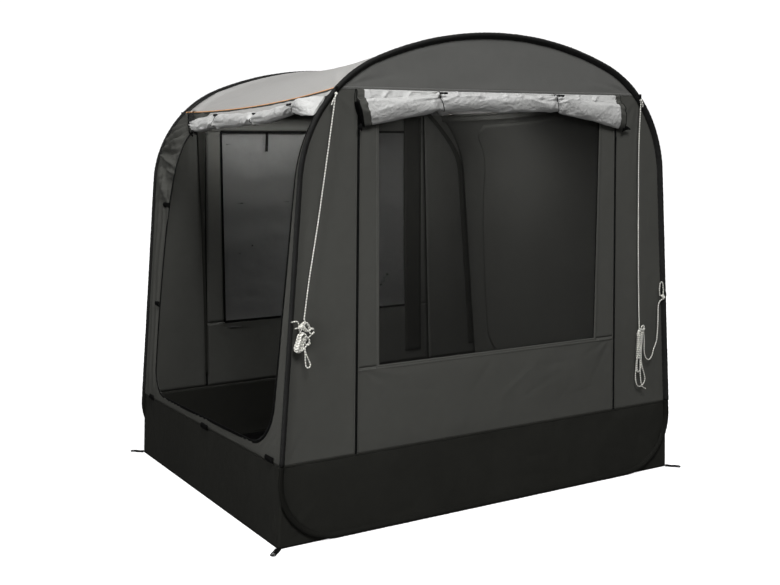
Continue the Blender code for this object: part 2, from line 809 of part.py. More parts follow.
def main():
    clear_scene()
    make_collection(PARTS)
    make_collection(CUTTERS, helper=True)
    make_hoop("front_hoop", -1)
    make_hoop("back_hoop", 1)
    make_end("front", -1, MUD_TOP_FRONT, WINDOW_BOTTOM, WINDOW_TOP)
    make_end("back", 1, MUD_TOP_BACK, rise(BACK_WINDOW_BOTTOM), rise(BACK_WINDOW_TOP))
    make_back_cover()
    make_roof()
    make_side("left", -1)
    make_side("right", 1)
    make_closed_door("right", 1)
    make_groundsheet()
    make_cover_roll()
    make_door_roll()
    make_toggles()
    for end, side in (("front", -1), ("back", 1)):
        for hand_name, hand in (("left", -1), ("right", 1)):
            make_peg_loop(f"peg_loop_{end}_{hand_name}", hand, side)
            make_guy_loop(f"guy_loop_{end}_{hand_name}", hand, side)
    make_rope("guy_rope_left", LEFT_ROPE)
    make_rope("guy_rope_right", RIGHT_ROPE)
    make_hank("guy_hank_left", LEFT_HANK)
    make_hank("guy_hank_right", RIGHT_HANK)
    make_rope("guy_tail_left", LEFT_TAIL)
    make_rope("guy_tail_right", RIGHT_TAIL)


main()
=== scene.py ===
"""Pop-up van tent: cloth, nets, ropes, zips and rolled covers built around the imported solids.

Metres, +Z up. The front face lies at -Y and the door side at -X. Every sheet is sewn between two
sprung hoops, so each one starts from the hoop's own outline and gets its folds from the seams it
is held by.
"""

import math

import bmesh
import bpy
import numpy as np
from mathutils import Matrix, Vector


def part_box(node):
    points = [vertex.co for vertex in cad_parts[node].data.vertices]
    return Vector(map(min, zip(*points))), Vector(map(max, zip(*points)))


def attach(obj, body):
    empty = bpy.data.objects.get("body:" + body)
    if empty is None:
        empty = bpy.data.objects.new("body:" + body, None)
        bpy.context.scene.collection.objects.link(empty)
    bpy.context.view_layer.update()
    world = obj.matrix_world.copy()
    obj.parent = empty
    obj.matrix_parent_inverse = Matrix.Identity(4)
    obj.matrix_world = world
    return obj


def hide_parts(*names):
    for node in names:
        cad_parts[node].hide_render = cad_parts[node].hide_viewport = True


bl_info = {
    "name": "Van Tent",
    "version": (1, 0, 0),
    "blender": (4, 5, 0),
    "location": "View3D > Sidebar > Van Tent",
    "description": "Builds the cloth, nets, ropes and rolled covers of a pop-up van tent",
    "category": "Object",
}

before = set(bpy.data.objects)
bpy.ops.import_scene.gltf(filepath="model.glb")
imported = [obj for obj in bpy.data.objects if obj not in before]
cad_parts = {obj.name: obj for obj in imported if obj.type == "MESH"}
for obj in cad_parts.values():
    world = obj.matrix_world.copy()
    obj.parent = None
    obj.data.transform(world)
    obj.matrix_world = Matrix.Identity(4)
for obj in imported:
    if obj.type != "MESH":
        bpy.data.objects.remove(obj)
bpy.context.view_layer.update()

# Hoops
SLEEVE_RADIUS = 0.009
HOOP_LOW, HOOP_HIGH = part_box("front_hoop")
HOOP_Y = -HOOP_LOW.y - SLEEVE_RADIUS
FRONT_HEIGHT = HOOP_HIGH.z - SLEEVE_RADIUS
BACK_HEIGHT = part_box("back_hoop")[1].z - SLEEVE_RADIUS
LEG_LEAN = math.radians(4.78)
LEG_OFFSET = 1.0764
CORNER_RADIUS = 0.2566
SHOULDER_RADIUS = 0.562
CROWN_RADIUS = 1.647

# Planes and heights of the cloth
FACE = -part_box("front_gable")[0].y
SIDE_REACH = FACE - 0.0012
SHEET_INSET = 0.0027
BASE_HALF_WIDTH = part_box("front_mud_wall")[1].x
MUD_TOP_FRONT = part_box("front_mud_wall")[1].z
MUD_TOP_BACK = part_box("back_mud_wall")[1].z
SEAM_HEIGHT = 1.816
ROOF_SAG = 0.03
BACK_SCALE = (BACK_HEIGHT - SLEEVE_RADIUS) / (FRONT_HEIGHT - SLEEVE_RADIUS)

# Window and zips
WINDOW_LOW, WINDOW_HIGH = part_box("front_window_mesh")
BACK_WINDOW_LOW, BACK_WINDOW_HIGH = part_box("back_window_mesh")
ZIP_LEFT = (-0.708, -0.687)
ZIP_RIGHT = (0.706, 0.665)

# Side door
DOOR_FOOT_FRONT = 0.385
DOOR_FOOT_BACK = 0.347
DOOR_HEAD_FRONT = 1.755
DOOR_FRONT_FOOT = -0.69
DOOR_FRONT_HEAD = -0.775
DOOR_BACK_EDGE = 0.645
DOOR_BACK_LINE = (
    (0.645, 0.65), (0.636, 0.90), (0.620, 1.12), (0.598, 1.28), (0.566, 1.42), (0.549, 1.53),
    (0.546, 1.60), (0.520, 1.648), (0.460, 1.674), (0.425, 1.69),
)
DOOR_FRONT_CORNER = 0.20
DOOR_BACK_CORNER = 0.13

# Rolled cover and rolled door: edges as (place along the roll, height), sections as (depth, height share)
COVER_TOP = 1.811
COVER_LOWER_EDGE = (
    (-0.718, 1.655), (-0.465, 1.702), (-0.314, 1.728), (0.305, 1.731), (0.512, 1.695), (0.715, 1.655),
)
DOOR_ROLL_LOWER_EDGE = (
    (-0.77, 1.699), (-0.68, 1.694), (-0.60, 1.712), (-0.50, 1.696), (-0.36, 1.677), (-0.19, 1.672),
    (0.02, 1.664), (0.23, 1.662), (0.37, 1.643), (0.45, 1.637), (0.50, 1.648),
)
COVER_SILVER_LEFT = (-0.640, -0.654, -0.668, -0.675, -0.670)
COVER_SILVER_RIGHT = (0.672, 0.666, 0.662, 0.657, 0.656)
COVER_END_SECTION = (
    (0.0004, 0.45), (0.0004, 0.86), (0.003, 1.0), (0.010, 0.985), (0.014, 0.90), (0.018, 0.80),
    (0.020, 0.745), (0.033, 0.72), (0.043, 0.64), (0.046, 0.50), (0.042, 0.30), (0.031, 0.11),
    (0.018, 0.0), (0.007, 0.03), (0.001, 0.13),
)
COVER_MIDDLE_SECTION = (
    (0.0004, 0.45), (0.0004, 0.90), (0.003, 1.0), (0.010, 0.985), (0.013, 0.945), (0.016, 0.905),
    (0.019, 0.87), (0.032, 0.86), (0.042, 0.76), (0.045, 0.58), (0.041, 0.34), (0.030, 0.12),
    (0.018, 0.0), (0.007, 0.03), (0.001, 0.13),
)
DOOR_ROLL_UPPER_EDGE = (
    (-0.77, 1.789), (-0.71, 1.778), (-0.65, 1.765), (-0.59, 1.757), (-0.46, 1.748), (-0.29, 1.736),
    (-0.10, 1.728), (0.23, 1.724), (0.37, 1.716), (0.50, 1.699),
)
FRONT_TIES = (-0.316, 0.302)
DOOR_TIES = (-0.585, -0.207, 0.212)
DOOR_TOGGLE_HEIGHTS = (1.750, 1.722, 1.718)
# Folds of the left wall's back strip: start and end as (y, z), width and depth
STRIP_FOLDS = (
    (0.785, 1.545, 0.54, 1.655, 0.012, 0.013), (0.785, 1.540, 0.54, 1.562, 0.012, -0.011),
    (0.775, 1.532, 0.52, 1.465, 0.014, 0.013), (0.775, 1.520, 0.60, 1.400, 0.014, -0.010),
    (0.785, 1.575, 0.56, 1.690, 0.010, -0.010), (0.785, 1.595, 0.60, 1.700, 0.012, 0.011),
    (0.785, 1.625, 0.62, 1.715, 0.010, -0.009), (0.785, 1.650, 0.60, 1.715, 0.011, 0.010),
    (0.780, 1.690, 0.62, 1.745, 0.011, 0.009), (0.760, 1.730, 0.62, 1.730, 0.009, 0.009),
    (0.680, 1.462, 0.52, 1.440, 0.011, 0.010), (0.700, 1.440, 0.60, 1.200, 0.016, 0.010),
    (0.745, 1.510, 0.70, 1.300, 0.012, 0.009), (0.665, 1.420, 0.57, 1.370, 0.010, -0.008),
)

# Ropes: routes as (x, z) in the plane in front of the hoop
ROPE_Y = -0.8188
LEFT_ROPE = ((-0.803, 1.788), (-0.842, 1.55), (-0.884, 1.30), (-0.925, 1.08), (-0.957, 0.9058))
RIGHT_ROPE = ((0.803, 1.788), (0.799, 1.60), (0.808, 1.30), (0.821, 1.00), (0.838, 0.7208))
LEFT_LOOP = (
    (-0.9547, 0.8115), (-0.9501, 0.788), (-0.9446, 0.775), (-0.9388, 0.7624), (-0.933, 0.7498),
    (-0.93, 0.7399), (-0.9341, 0.7316), (-0.9429, 0.7289), (-0.9503, 0.7362), (-0.9523, 0.7527),
    (-0.953, 0.7704), (-0.9541, 0.7884), (-0.9577, 0.8118),
)
RIGHT_LOOP = (
    (0.833, 0.570), (0.829, 0.511), (0.831, 0.470), (0.844, 0.440), (0.862, 0.433), (0.881, 0.443),
    (0.892, 0.470), (0.872, 0.528), (0.859, 0.572), (0.846, 0.592), (0.834, 0.582),
)
RIGHT_HANK_END = ((0.846, 0.560), (0.850, 0.501), (0.8576, 0.4545), (0.870, 0.432), (0.8894, 0.4201))
RIGHT_LEG_END = (
    (0.964, 0.868), (0.959, 0.900), (0.964, 0.931), (0.978, 0.929), (0.984, 0.895), (0.984, 0.862),
)
LEFT_TAIL = ((-0.976, 0.913), (-0.988, 0.917), (-1.0045, 0.914))
RIGHT_TAIL = (
    (0.867, 0.704), (0.8735, 0.660), (0.8755, 0.605), (0.888, 0.572), (0.9109, 0.561), (0.929, 0.582),
    (0.9372, 0.6083), (0.9560, 0.6554), (0.9600, 0.7453), (0.9590, 0.815), (0.970, 0.842),
    (0.9965, 0.850),
)

# Camera, measured from the photograph's frame
CAMERA_PLACE = (-2.87562, -4.58809, 1.63327)
CAMERA_TURN = (math.radians(81.991), 0.0, math.radians(-31.597))
CAMERA_LENS = 50.65
CAMERA_SHIFT = -0.0041
ROOM_LIGHT = 0.10
FLOOR_GLOW = 0.66

# Black tabs on the left wall: place along it, height and width
WALL_TABS = (
    (0.632, 1.289, 0.078), (0.675, 0.792, 0.050), (0.682, 0.315, 0.050), (-0.019, 0.322, 0.072),
    (-0.70, 0.344, 0.072),
)

LEFT, RIGHT = -1, 1
HANDS = (("left", LEFT), ("right", RIGHT))
ENDS = (("front", -1), ("back", 1))


def length_property(name, description, value):
    return bpy.props.FloatProperty(name=name, description=description, default=value, unit="LENGTH")


class TentSizes(bpy.types.PropertyGroup):
    """Sizes of the cloth, seams and cords"""

    cloth: length_property("Cloth", "Thickness of a cloth panel", 0.0011)
    seam: length_property("Seam", "Width of a sewn seam", 0.011)
    folds: bpy.props.FloatProperty(name="Folds", description="How deep the cloth's folds are", default=1.0)
    rope: length_property("Rope", "Diameter of the guy ropes", 0.005)
    piping: length_property("Piping", "Radius of the piping", 0.0027)
    zip_tape: length_property("Zip Tape", "Width of a zip with its tape", 0.018)


def colour_property(name, description, value):
    settings = dict(default=value, subtype="COLOR", min=0, max=1)
    return bpy.props.FloatVectorProperty(name=name, description=description, **settings)


class TentColours(bpy.types.PropertyGroup):
    """Colours of the cloth, nets and trim"""

    wall: colour_property("Wall", "Dark grey wall cloth", (0.0670, 0.0673, 0.0615))
    gable: colour_property("Gable", "Lighter grey gable cloth", (0.114, 0.114, 0.109))
    mud: colour_property("Mud Wall", "Coated cloth along the ground", (0.0215, 0.0215, 0.0190))
    roof: colour_property("Roof", "Light grey roof cloth", (0.350, 0.344, 0.334))
    silver: colour_property("Silver", "Lining of the rolled covers", (0.49, 0.49, 0.481))
    net: colour_property("Net", "Window netting", (0.018, 0.018, 0.017))
    sleeve: colour_property("Sleeve", "Black hoop sleeve", (0.017, 0.017, 0.0166))
    piping: colour_property("Piping", "Orange piping along the roof", (0.78, 0.40, 0.18))
    rope: colour_property("Rope", "Off-white guy rope", (0.88, 0.87, 0.80))
    trim: colour_property("Trim", "Zips, toggles and webbing", (0.0045, 0.0045, 0.0045))
    lining: colour_property("Lining", "Inside of the back cover", (0.25, 0.25, 0.245))
    hem: colour_property("Hem", "Mud wall cloth round the buried hoop", (0.0125, 0.0125, 0.0110))
    ground: colour_property("Groundsheet", "Black groundsheet", (0.0040, 0.0040, 0.0040))


def sizes():
    return bpy.context.scene.tent_sizes


def colours():
    return bpy.context.scene.tent_colours


def unit(vectors):
    """Vectors brought to a length of 1."""
    return vectors / np.linalg.norm(vectors, axis=-1, keepdims=True)


def run_of(points):
    """Distance along a line at each of its points."""
    return np.concatenate(((0.0,), np.cumsum(np.linalg.norm(np.diff(points, axis=0), axis=1))))


def uv_grid(along, across):
    return np.stack(np.meshgrid(along, across, indexing="ij"), -1)


# Noise and folds, as heights over a sheet in metres


def lattice(i, j, seed):
    raw = np.sin(i * 12.9898 + j * 78.233 + seed * 37.719) * 43758.5453
    return raw - np.floor(raw)


def swell(u, v, seed):
    """Smooth noise between -1 and 1, with one swell to a unit."""
    i, j = np.floor(u), np.floor(v)
    s, t = u - i, v - j
    s, t = s * s * (3 - 2 * s), t * t * (3 - 2 * t)
    low = lattice(i, j, seed) * (1 - s) + lattice(i + 1, j, seed) * s
    high = lattice(i, j + 1, seed) * (1 - s) + lattice(i + 1, j + 1, seed) * s
    return 2 * (low * (1 - t) + high * t) - 1


def rough(u, v, seed):
    """Three octaves of swell."""
    return swell(u, v, seed) + 0.5 * swell(2 * u, 2 * v, seed + 1) + 0.25 * swell(4 * u, 4 * v, seed + 2)


def ease(value, low, high):
    """A soft step from 0 at low to 1 at high."""
    t = np.clip((value - low) / (high - low), 0, 1)
    return t * t * (3 - 2 * t)


def fold(a, b, start, end, width, depth):
    """A soft ridge along a straight line, which fades at its end and stays at its start."""
    run = np.array(end) - np.array(start)
    length = math.hypot(*run)
    along = ((a - start[0]) * run[0] + (b - start[1]) * run[1]) / length**2
    across = ((a - start[0]) * run[1] - (b - start[1]) * run[0]) / length
    fade = ease(along, -0.08, 0.12) * (1 - ease(along, 0.35, 1.0))
    return depth * np.exp(-((across / width) ** 2)) * fade


def fan(a, b, corner, directions, length, width, depth):
    """Folds that run out of a corner under tension; they alternate in and out."""
    total = 0 * a
    for k, turn in enumerate(directions):
        reach = length * (0.7 + 0.3 * math.cos(2.4 * k))
        end = (corner[0] + reach * math.cos(turn), corner[1] + reach * math.sin(turn))
        total += fold(a, b, corner, end, width, depth * (1 if k % 2 else -0.8))
    return total


def creases(a, b, area, count, length, width, depth, seed, lean=None):
    """Scattered short creases inside an area given as (low a, low b, high a, high b)."""
    draw = np.random.default_rng(seed)
    total = 0 * a
    for _ in range(count):
        start = (draw.uniform(area[0], area[2]), draw.uniform(area[1], area[3]))
        turn = draw.uniform(0, math.pi) if lean is None else lean + draw.normal(0, 0.35)
        reach = length * draw.uniform(0.5, 1.2)
        end = (start[0] + reach * math.cos(turn), start[1] + reach * math.sin(turn))
        total += fold(a, b, start, end, width * draw.uniform(0.7, 1.4), depth * draw.uniform(-1, 1))
    return total


def puckers(distance, along, pitch, depth, reach, seed):
    """Gathers that a row of stitching leaves, dying away with distance from the seam."""
    phase = 2 * math.pi * along / pitch + 2.6 * swell(along / 0.11, 0 * along, seed)
    strength = 0.6 + 0.4 * swell(along / 0.19, 0 * along + 3, seed + 5)
    return depth * strength * np.sin(phase) * np.exp(-distance / reach)


# Outline of the hoops


def shoulder_centre():
    across = np.array((math.cos(LEG_LEAN), math.sin(LEG_LEAN)))
    along = np.array((-math.sin(LEG_LEAN), math.cos(LEG_LEAN)))
    foot = across * (LEG_OFFSET - SHOULDER_RADIUS)
    to_foot = foot - np.array((0.0, FRONT_HEIGHT - CROWN_RADIUS))
    reach = CROWN_RADIUS - SHOULDER_RADIUS
    shift = to_foot @ along
    return foot + along * (-shift + math.sqrt(reach**2 - to_foot @ to_foot + shift**2))


SHOULDER = shoulder_centre()
CROWN = np.array((0.0, FRONT_HEIGHT - CROWN_RADIUS))
CROWN_TURN = math.atan2(SHOULDER[1] - CROWN[1], SHOULDER[0] - CROWN[0])
SEAM_TURN = math.asin((SEAM_HEIGHT - SHOULDER[1]) / (SHOULDER_RADIUS - SHEET_INSET))
CROWN_LENGTH = (CROWN_RADIUS - SHEET_INSET) * (math.pi / 2 - CROWN_TURN)
ROOF_HALF = CROWN_LENGTH + (SHOULDER_RADIUS - SHEET_INSET) * (CROWN_TURN - SEAM_TURN)
GABLE_HALF = math.sqrt((SHOULDER_RADIUS - SHEET_INSET) ** 2 - (SEAM_HEIGHT - SHOULDER[1]) ** 2) + SHOULDER[0]


def half_width(z, inset=SHEET_INSET):
    """Distance from the middle to the front hoop at a height on the leg or the shoulder."""
    radius = SHOULDER_RADIUS - inset
    lift = np.clip(z - SHOULDER[1], -radius, radius)
    shoulder = SHOULDER[0] + np.sqrt(radius**2 - lift**2)
    leg = (LEG_OFFSET - inset - z * math.sin(LEG_LEAN)) / math.cos(LEG_LEAN)
    return np.where(z > SHOULDER[1] + radius * math.sin(LEG_LEAN), shoulder, leg)


def arch_height(x):
    """Height of the front hoop over a place across, for the gable."""
    x = np.abs(x)
    crown = CROWN[1] + np.sqrt((CROWN_RADIUS - SHEET_INSET) ** 2 - x**2)
    reach = np.clip((SHOULDER_RADIUS - SHEET_INSET) ** 2 - (x - SHOULDER[0]) ** 2, 0, None)
    join = CROWN[0] + (CROWN_RADIUS - SHEET_INSET) * math.cos(CROWN_TURN)
    return np.where(x < join, crown, SHOULDER[1] + np.sqrt(reach))


def drop(z):
    """The height on the lower back hoop of a point on the front hoop."""
    return SLEEVE_RADIUS + (z - SLEEVE_RADIUS) * BACK_SCALE


def rise(z):
    return SLEEVE_RADIUS + (z - SLEEVE_RADIUS) / BACK_SCALE


def hoop_line(step):
    """The closed centre line of the front hoop: points (x, z) and outward directions."""
    height = SLEEVE_RADIUS + CORNER_RADIUS
    across = LEG_OFFSET - CORNER_RADIUS
    corner = np.array(((across - height * math.sin(LEG_LEAN)) / math.cos(LEG_LEAN), height))
    runs = []
    for centre, radius, low, high in (
        (corner, CORNER_RADIUS, -math.pi / 2, LEG_LEAN),
        (SHOULDER, SHOULDER_RADIUS, LEG_LEAN, CROWN_TURN),
        (CROWN, CROWN_RADIUS, CROWN_TURN, math.pi / 2),
    ):
        count = max(4, round(radius * (high - low) / step))
        turn = np.linspace(low, high, count + 1)
        runs.append(centre + radius * np.stack((np.cos(turn), np.sin(turn)), 1))
    foot = runs[0][0]
    leg = max(2, round(np.linalg.norm(runs[1][0] - runs[0][-1]) / step))
    share = np.linspace(0, 1, leg + 1)[1:-1, None]
    straight = runs[0][-1] * (1 - share) + runs[1][0] * share
    ground = max(2, round(foot[0] / step))
    floor = np.stack((np.linspace(0, foot[0], ground + 1)[1:-1], np.full(ground - 1, foot[1])), 1)
    right = np.concatenate((floor, runs[0], straight, runs[1], runs[2][1:]))
    points = np.concatenate(([(0.0, SLEEVE_RADIUS)], right, right[::-1][1:] * (-1, 1)))
    ahead = unit(np.roll(points, -1, 0) - np.roll(points, 1, 0))
    return points, np.stack((ahead[:, 1], -ahead[:, 0]), 1)


# Points on the sheets


def between(stations, place):
    """Straight-line reading of a value from (place, value) pairs."""
    return np.interp(place, [s[0] for s in stations], [s[1] for s in stations])


def back_share(y):
    return (y + HOOP_Y) / (2 * HOOP_Y)


def sag_at(y, weight):
    return ROOF_SAG * weight * (1 - (y / HOOP_Y) ** 2)


def wall_base(y):
    return MUD_TOP_FRONT + (MUD_TOP_BACK - MUD_TOP_FRONT) * back_share(y)


def wall_head(y):
    return SEAM_HEIGHT + (drop(SEAM_HEIGHT) - SEAM_HEIGHT) * back_share(y)


def wall_level(y, z):
    return (z - wall_base(y)) / (wall_head(y) - wall_base(y))


def wall_turn(level):
    """How far the outside of a side wall leans upwards at a level from 0 to 1."""
    z = MUD_TOP_FRONT + (SEAM_HEIGHT - MUD_TOP_FRONT) * np.clip(level, 0, 1)
    rest = np.clip((z - SHOULDER[1]) / SHOULDER_RADIUS, -1, 1)
    return np.maximum(LEG_LEAN, np.arcsin(rest))


def wall_point(y, level, hand, lift=0.0):
    """A point of a side wall's outer face; level runs from the mud wall, 0, to the roof seam, 1."""
    front_z = MUD_TOP_FRONT + (SEAM_HEIGHT - MUD_TOP_FRONT) * level
    back_low = rise(MUD_TOP_BACK)
    back_z = back_low + (SEAM_HEIGHT - back_low) * level
    share = back_share(y)
    turn = wall_turn(level)
    out = lift - sag_at(y, np.clip(level, 0, 1) ** 2)
    x = half_width(front_z) * (1 - share) + half_width(back_z) * share + out * np.cos(turn)
    z = front_z * (1 - share) + drop(back_z) * share + out * np.sin(turn)
    return np.stack((hand * x, y + 0 * x, z), -1)


def roof_point(y, s, lift=0.0):
    """A point of the roof; s runs across it in metres from the crown."""
    reach = np.abs(s)
    on_crown = math.pi / 2 - reach / (CROWN_RADIUS - SHEET_INSET)
    on_shoulder = CROWN_TURN - (reach - CROWN_LENGTH) / (SHOULDER_RADIUS - SHEET_INSET)
    over = reach < CROWN_LENGTH
    turn = np.where(over, on_crown, on_shoulder)
    radius = np.where(over, CROWN_RADIUS, SHOULDER_RADIUS) - SHEET_INSET
    x = np.where(over, CROWN[0], SHOULDER[0]) + radius * np.cos(turn)
    z = np.where(over, CROWN[1], SHOULDER[1]) + radius * np.sin(turn)
    share = back_share(y)
    out = lift - sag_at(y, 1.0)
    height = z * (1 - share) + drop(z) * share + out * np.sin(turn)
    return np.stack((np.sign(s) * (x + out * np.cos(turn)), y + 0 * x, height), -1)


def mud_point(y, level, hand):
    """A point of a side mud wall; level runs from the ground, 0, to its top seam, 1."""
    share = back_share(y)
    top = half_width(MUD_TOP_FRONT) * (1 - share) + half_width(rise(MUD_TOP_BACK)) * share
    x = BASE_HALF_WIDTH + (top - BASE_HALF_WIDTH) * level
    return np.stack((hand * x, y + 0 * x, wall_base(y) * level), -1)


def end_point(x, z, side, lift=0.0):
    """A point of an end wall's outer face, with z as a height of the front face."""
    height = z if side < 0 else drop(z)
    return np.stack((x + 0 * height, side * (FACE + lift) + 0 * height, height + 0 * x), -1)


def arc_corner(corner, before, after, radius):
    """Points of the round corner that joins two straight edges, both given from the corner."""
    corner, before, after = (np.array(p, float) for p in (corner, before, after))
    to_before, to_after = unit(before - corner), unit(after - corner)
    half = math.acos(to_before @ to_after) / 2
    centre = corner + unit(to_before + to_after) * (radius / math.sin(half))
    start = corner + to_before * radius / math.tan(half) - centre
    end = corner + to_after * radius / math.tan(half) - centre
    mix = np.linspace(0, 1, 15)[:, None]
    return centre + unit(start * (1 - mix) + end * mix) * radius


def door_sides(margin):
    """The front, foot, back and head lines of the door in (y, z), each from one corner to the next."""
    foot_front = (DOOR_FRONT_FOOT - margin, DOOR_FOOT_FRONT - margin)
    foot_back = (DOOR_BACK_EDGE + margin, DOOR_FOOT_BACK - margin)
    head_front = (DOOR_FRONT_HEAD - margin * 0.6, DOOR_HEAD_FRONT + margin)
    low_front = arc_corner(foot_front, head_front, foot_back, DOOR_FRONT_CORNER + margin)
    above = (foot_back[0], foot_back[1] + 1.0)
    low_back = arc_corner(foot_back, foot_front, above, DOOR_BACK_CORNER + margin)
    back_curve = curve_through([(0.0, *point) for point in DOOR_BACK_LINE], 5)[:, 1:] + (margin, margin)
    half_front, half_back = len(low_front) // 2, len(low_back) // 2
    front = np.concatenate(([head_front], low_front[: half_front + 1]))
    foot = np.concatenate((low_front[half_front:], low_back[: half_back + 1]))
    back = np.concatenate((low_back[half_back:], back_curve))
    return front, foot, back, np.array((back[-1], head_front))


def resample(points, count):
    """Points at an even spacing along a line."""
    points = np.asarray(points, float)
    length = run_of(points)
    wanted = np.linspace(0, length[-1], count)
    return np.stack([np.interp(wanted, length, points[:, k]) for k in range(points.shape[1])], 1)


def line_length(points):
    return float(np.linalg.norm(np.diff(np.asarray(points), axis=0), axis=1).sum())


# Meshes


def deselect():
    if bpy.context.mode != "OBJECT":
        bpy.ops.object.mode_set(mode="OBJECT")
    bpy.ops.object.select_all(action="DESELECT")


def make_active(obj):
    deselect()
    obj.select_set(True)
    bpy.context.view_layer.objects.active = obj


def apply_modifiers(obj):
    make_active(obj)
    for modifier in list(obj.modifiers):
        bpy.ops.object.modifier_apply(modifier=modifier.name)


def normals_of(points):
    """Unit normals of a grid of points."""
    rows = np.gradient(points, axis=0)
    columns = np.gradient(points, axis=1)
    normal = np.cross(rows, columns)
    length = np.linalg.norm(normal, axis=-1, keepdims=True)
    return normal / np.maximum(length, 1e-12)


def build_object(name, grids, outward=None, capped=False):
    """One object from grids of points with UVs in metres; edges that coincide are joined."""
    points, coordinates, faces, start = [], [], [], 0
    for grid, uv in grids:
        rows, columns = grid.shape[:2]
        index = start + np.arange(rows * columns).reshape(rows, columns)
        quads = np.stack((index[:-1, :-1], index[1:, :-1], index[1:, 1:], index[:-1, 1:]), -1).reshape(-1, 4)
        flat = grid.reshape(-1, 3)
        if outward is not None:
            first, second = (flat[quads[:, k] - start] - flat[quads[:, 0] - start] for k in (1, 2))
            if (np.cross(first, second).sum(0) * np.asarray(outward)).sum() < 0:
                quads = quads[:, ::-1]
        faces += quads.tolist()
        if capped:
            faces += [index[0, :-1].tolist(), index[-1, :-1][::-1].tolist()]
        points.append(flat)
        coordinates.append(uv.reshape(-1, 2))
        start += rows * columns
    obj = add_mesh(name, np.concatenate(points), faces)
    mesh = obj.data
    corners = np.zeros(len(mesh.loops), np.int32)
    mesh.loops.foreach_get("vertex_index", corners)
    mesh.uv_layers.new(name="UVMap").data.foreach_set("uv", np.concatenate(coordinates)[corners].ravel())
    builder = bmesh.new()
    builder.from_mesh(mesh)
    bmesh.ops.remove_doubles(builder, verts=builder.verts, dist=1e-6)
    if outward is None:
        bmesh.ops.recalc_face_normals(builder, faces=builder.faces)
    builder.to_mesh(mesh)
    builder.free()
    return obj


def add_mesh(name, points, faces):
    mesh = bpy.data.meshes.new(name)
    mesh.from_pydata(points.tolist(), [], faces)
    obj = bpy.data.objects.new(name, mesh)
    bpy.context.scene.collection.objects.link(obj)
    return obj


def thicken(obj, thickness):
    """Gives an open sheet its thickness on the side away from its normals."""
    solid = obj.modifiers.new("thickness", "SOLIDIFY")
    solid.thickness = thickness
    solid.offset = -1
    apply_modifiers(obj)
    return obj


def finish_piece(obj, finish, nodes=(), smooth=True, angle=None):
    """Gives a piece its finish, hangs it from the root and takes the named solids off the view."""
    obj.data.materials.clear()
    obj.data.materials.append(bpy.data.materials[f"tent_{finish}"])
    if smooth:
        obj.data.shade_smooth()
        if angle is not None:
            obj.data.set_sharp_from_angle(angle=math.radians(angle))
    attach(obj, "root")
    if nodes:
        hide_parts(*nodes)
    return obj


def area_of(grid):
    first = grid[1:, 1:] - grid[:-1, :-1]
    second = grid[1:, :-1] - grid[:-1, 1:]
    return float(np.linalg.norm(np.cross(first, second), axis=-1).sum() / 2)


def cloth_piece(name, grid, uv, relief, outward, finish, nodes=(), thickness=None, strip=False):
    """A sewn panel: a grid raised by its folds, thickened and given its finish."""
    normal = normals_of(grid)
    if (normal.reshape(-1, 3).sum(0) * np.asarray(outward)).sum() < 0:
        normal = -normal
    raised = grid + normal * (relief * sizes().folds)[..., None]
    obj = build_object(name, [(raised, np.stack(uv, -1))], outward=outward)
    thicken(obj, thickness or sizes().cloth)
    finish_piece(obj, finish, nodes)
    area = area_of(grid)
    width, length = (float(np.ptp(side)) for side in uv)
    if strip or area < 0.31 * width * length:
        length = max(width, length, line_length(grid[:, grid.shape[1] // 2]), line_length(grid[0]))
        width = area / length


def frames_along(path):
    """Directions along, across and up at each point of a line, without twist."""
    path = np.asarray(path, float)
    ahead = unit(np.gradient(path, axis=0))
    across = np.zeros_like(path)
    start = np.cross(ahead[0], (0, 0, 1.0))
    if np.linalg.norm(start) < 0.1:
        start = np.cross(ahead[0], (0, 1.0, 0))
    across[0] = unit(start)
    for k in range(1, len(path)):
        across[k] = unit(across[k - 1] - ahead[k] * (across[k - 1] @ ahead[k]))
    return across, np.cross(ahead, across)


def tube_grid(path, radius, sides):
    """A round tube along a line, as a grid whose last column repeats the first."""
    path = np.asarray(path, float)
    across, up = frames_along(path)
    angle = np.linspace(0, 2 * math.pi, sides + 1)
    ring = across[:, None] * np.cos(angle)[None, :, None] + up[:, None] * np.sin(angle)[None, :, None]
    return path[:, None] + ring * radius, uv_grid(run_of(path), np.linspace(0, 1, sides + 1))


def capped_piece(name, grid, uv, slot, finish, nodes=(), angle=None):
    """A grid whose ends are capped, as one piece."""
    return finish_piece(build_object(name, [(grid, uv)], capped=True), finish, nodes, angle=angle)


def tube_piece(name, path, radius, sides, slot, finish, nodes=()):
    return capped_piece(name, *tube_grid(path, radius, sides), slot, finish, nodes, angle=60)


def ribbon_grid(path, across, up, width, crown):
    """A narrow tape along a line: across and up are directions, crown its rise in the middle."""
    path, across, up = (np.asarray(p, float) for p in (path, across, up))
    across = np.broadcast_to(across, path.shape)
    up = np.broadcast_to(up, path.shape)
    place = np.linspace(-0.5, 0.5, 5)
    grid = path[:, None] + across[:, None] * (place * width)[None, :, None]
    grid = grid + up[:, None] * (crown * (1 - (2 * place) ** 2))[None, :, None]
    return grid, uv_grid(run_of(path), place * width)


def ribbon_piece(name, path, across, up, width, finish, thickness=0.0008, crown=0.0006, nodes=()):
    hint = np.broadcast_to(np.asarray(up, float), np.asarray(path).shape).mean(0)
    obj = build_object(name, [ribbon_grid(path, across, up, width, crown)], outward=hint)
    return finish_piece(thicken(obj, thickness), finish, nodes)


def template_of(obj):
    """Points and faces of a small modelled piece, which is then removed."""
    points = np.array([vertex.co[:] for vertex in obj.data.vertices])
    faces = [list(face.vertices) for face in obj.data.polygons]
    mesh = obj.data
    bpy.data.objects.remove(obj, do_unlink=True)
    bpy.data.meshes.remove(mesh)
    return points, faces


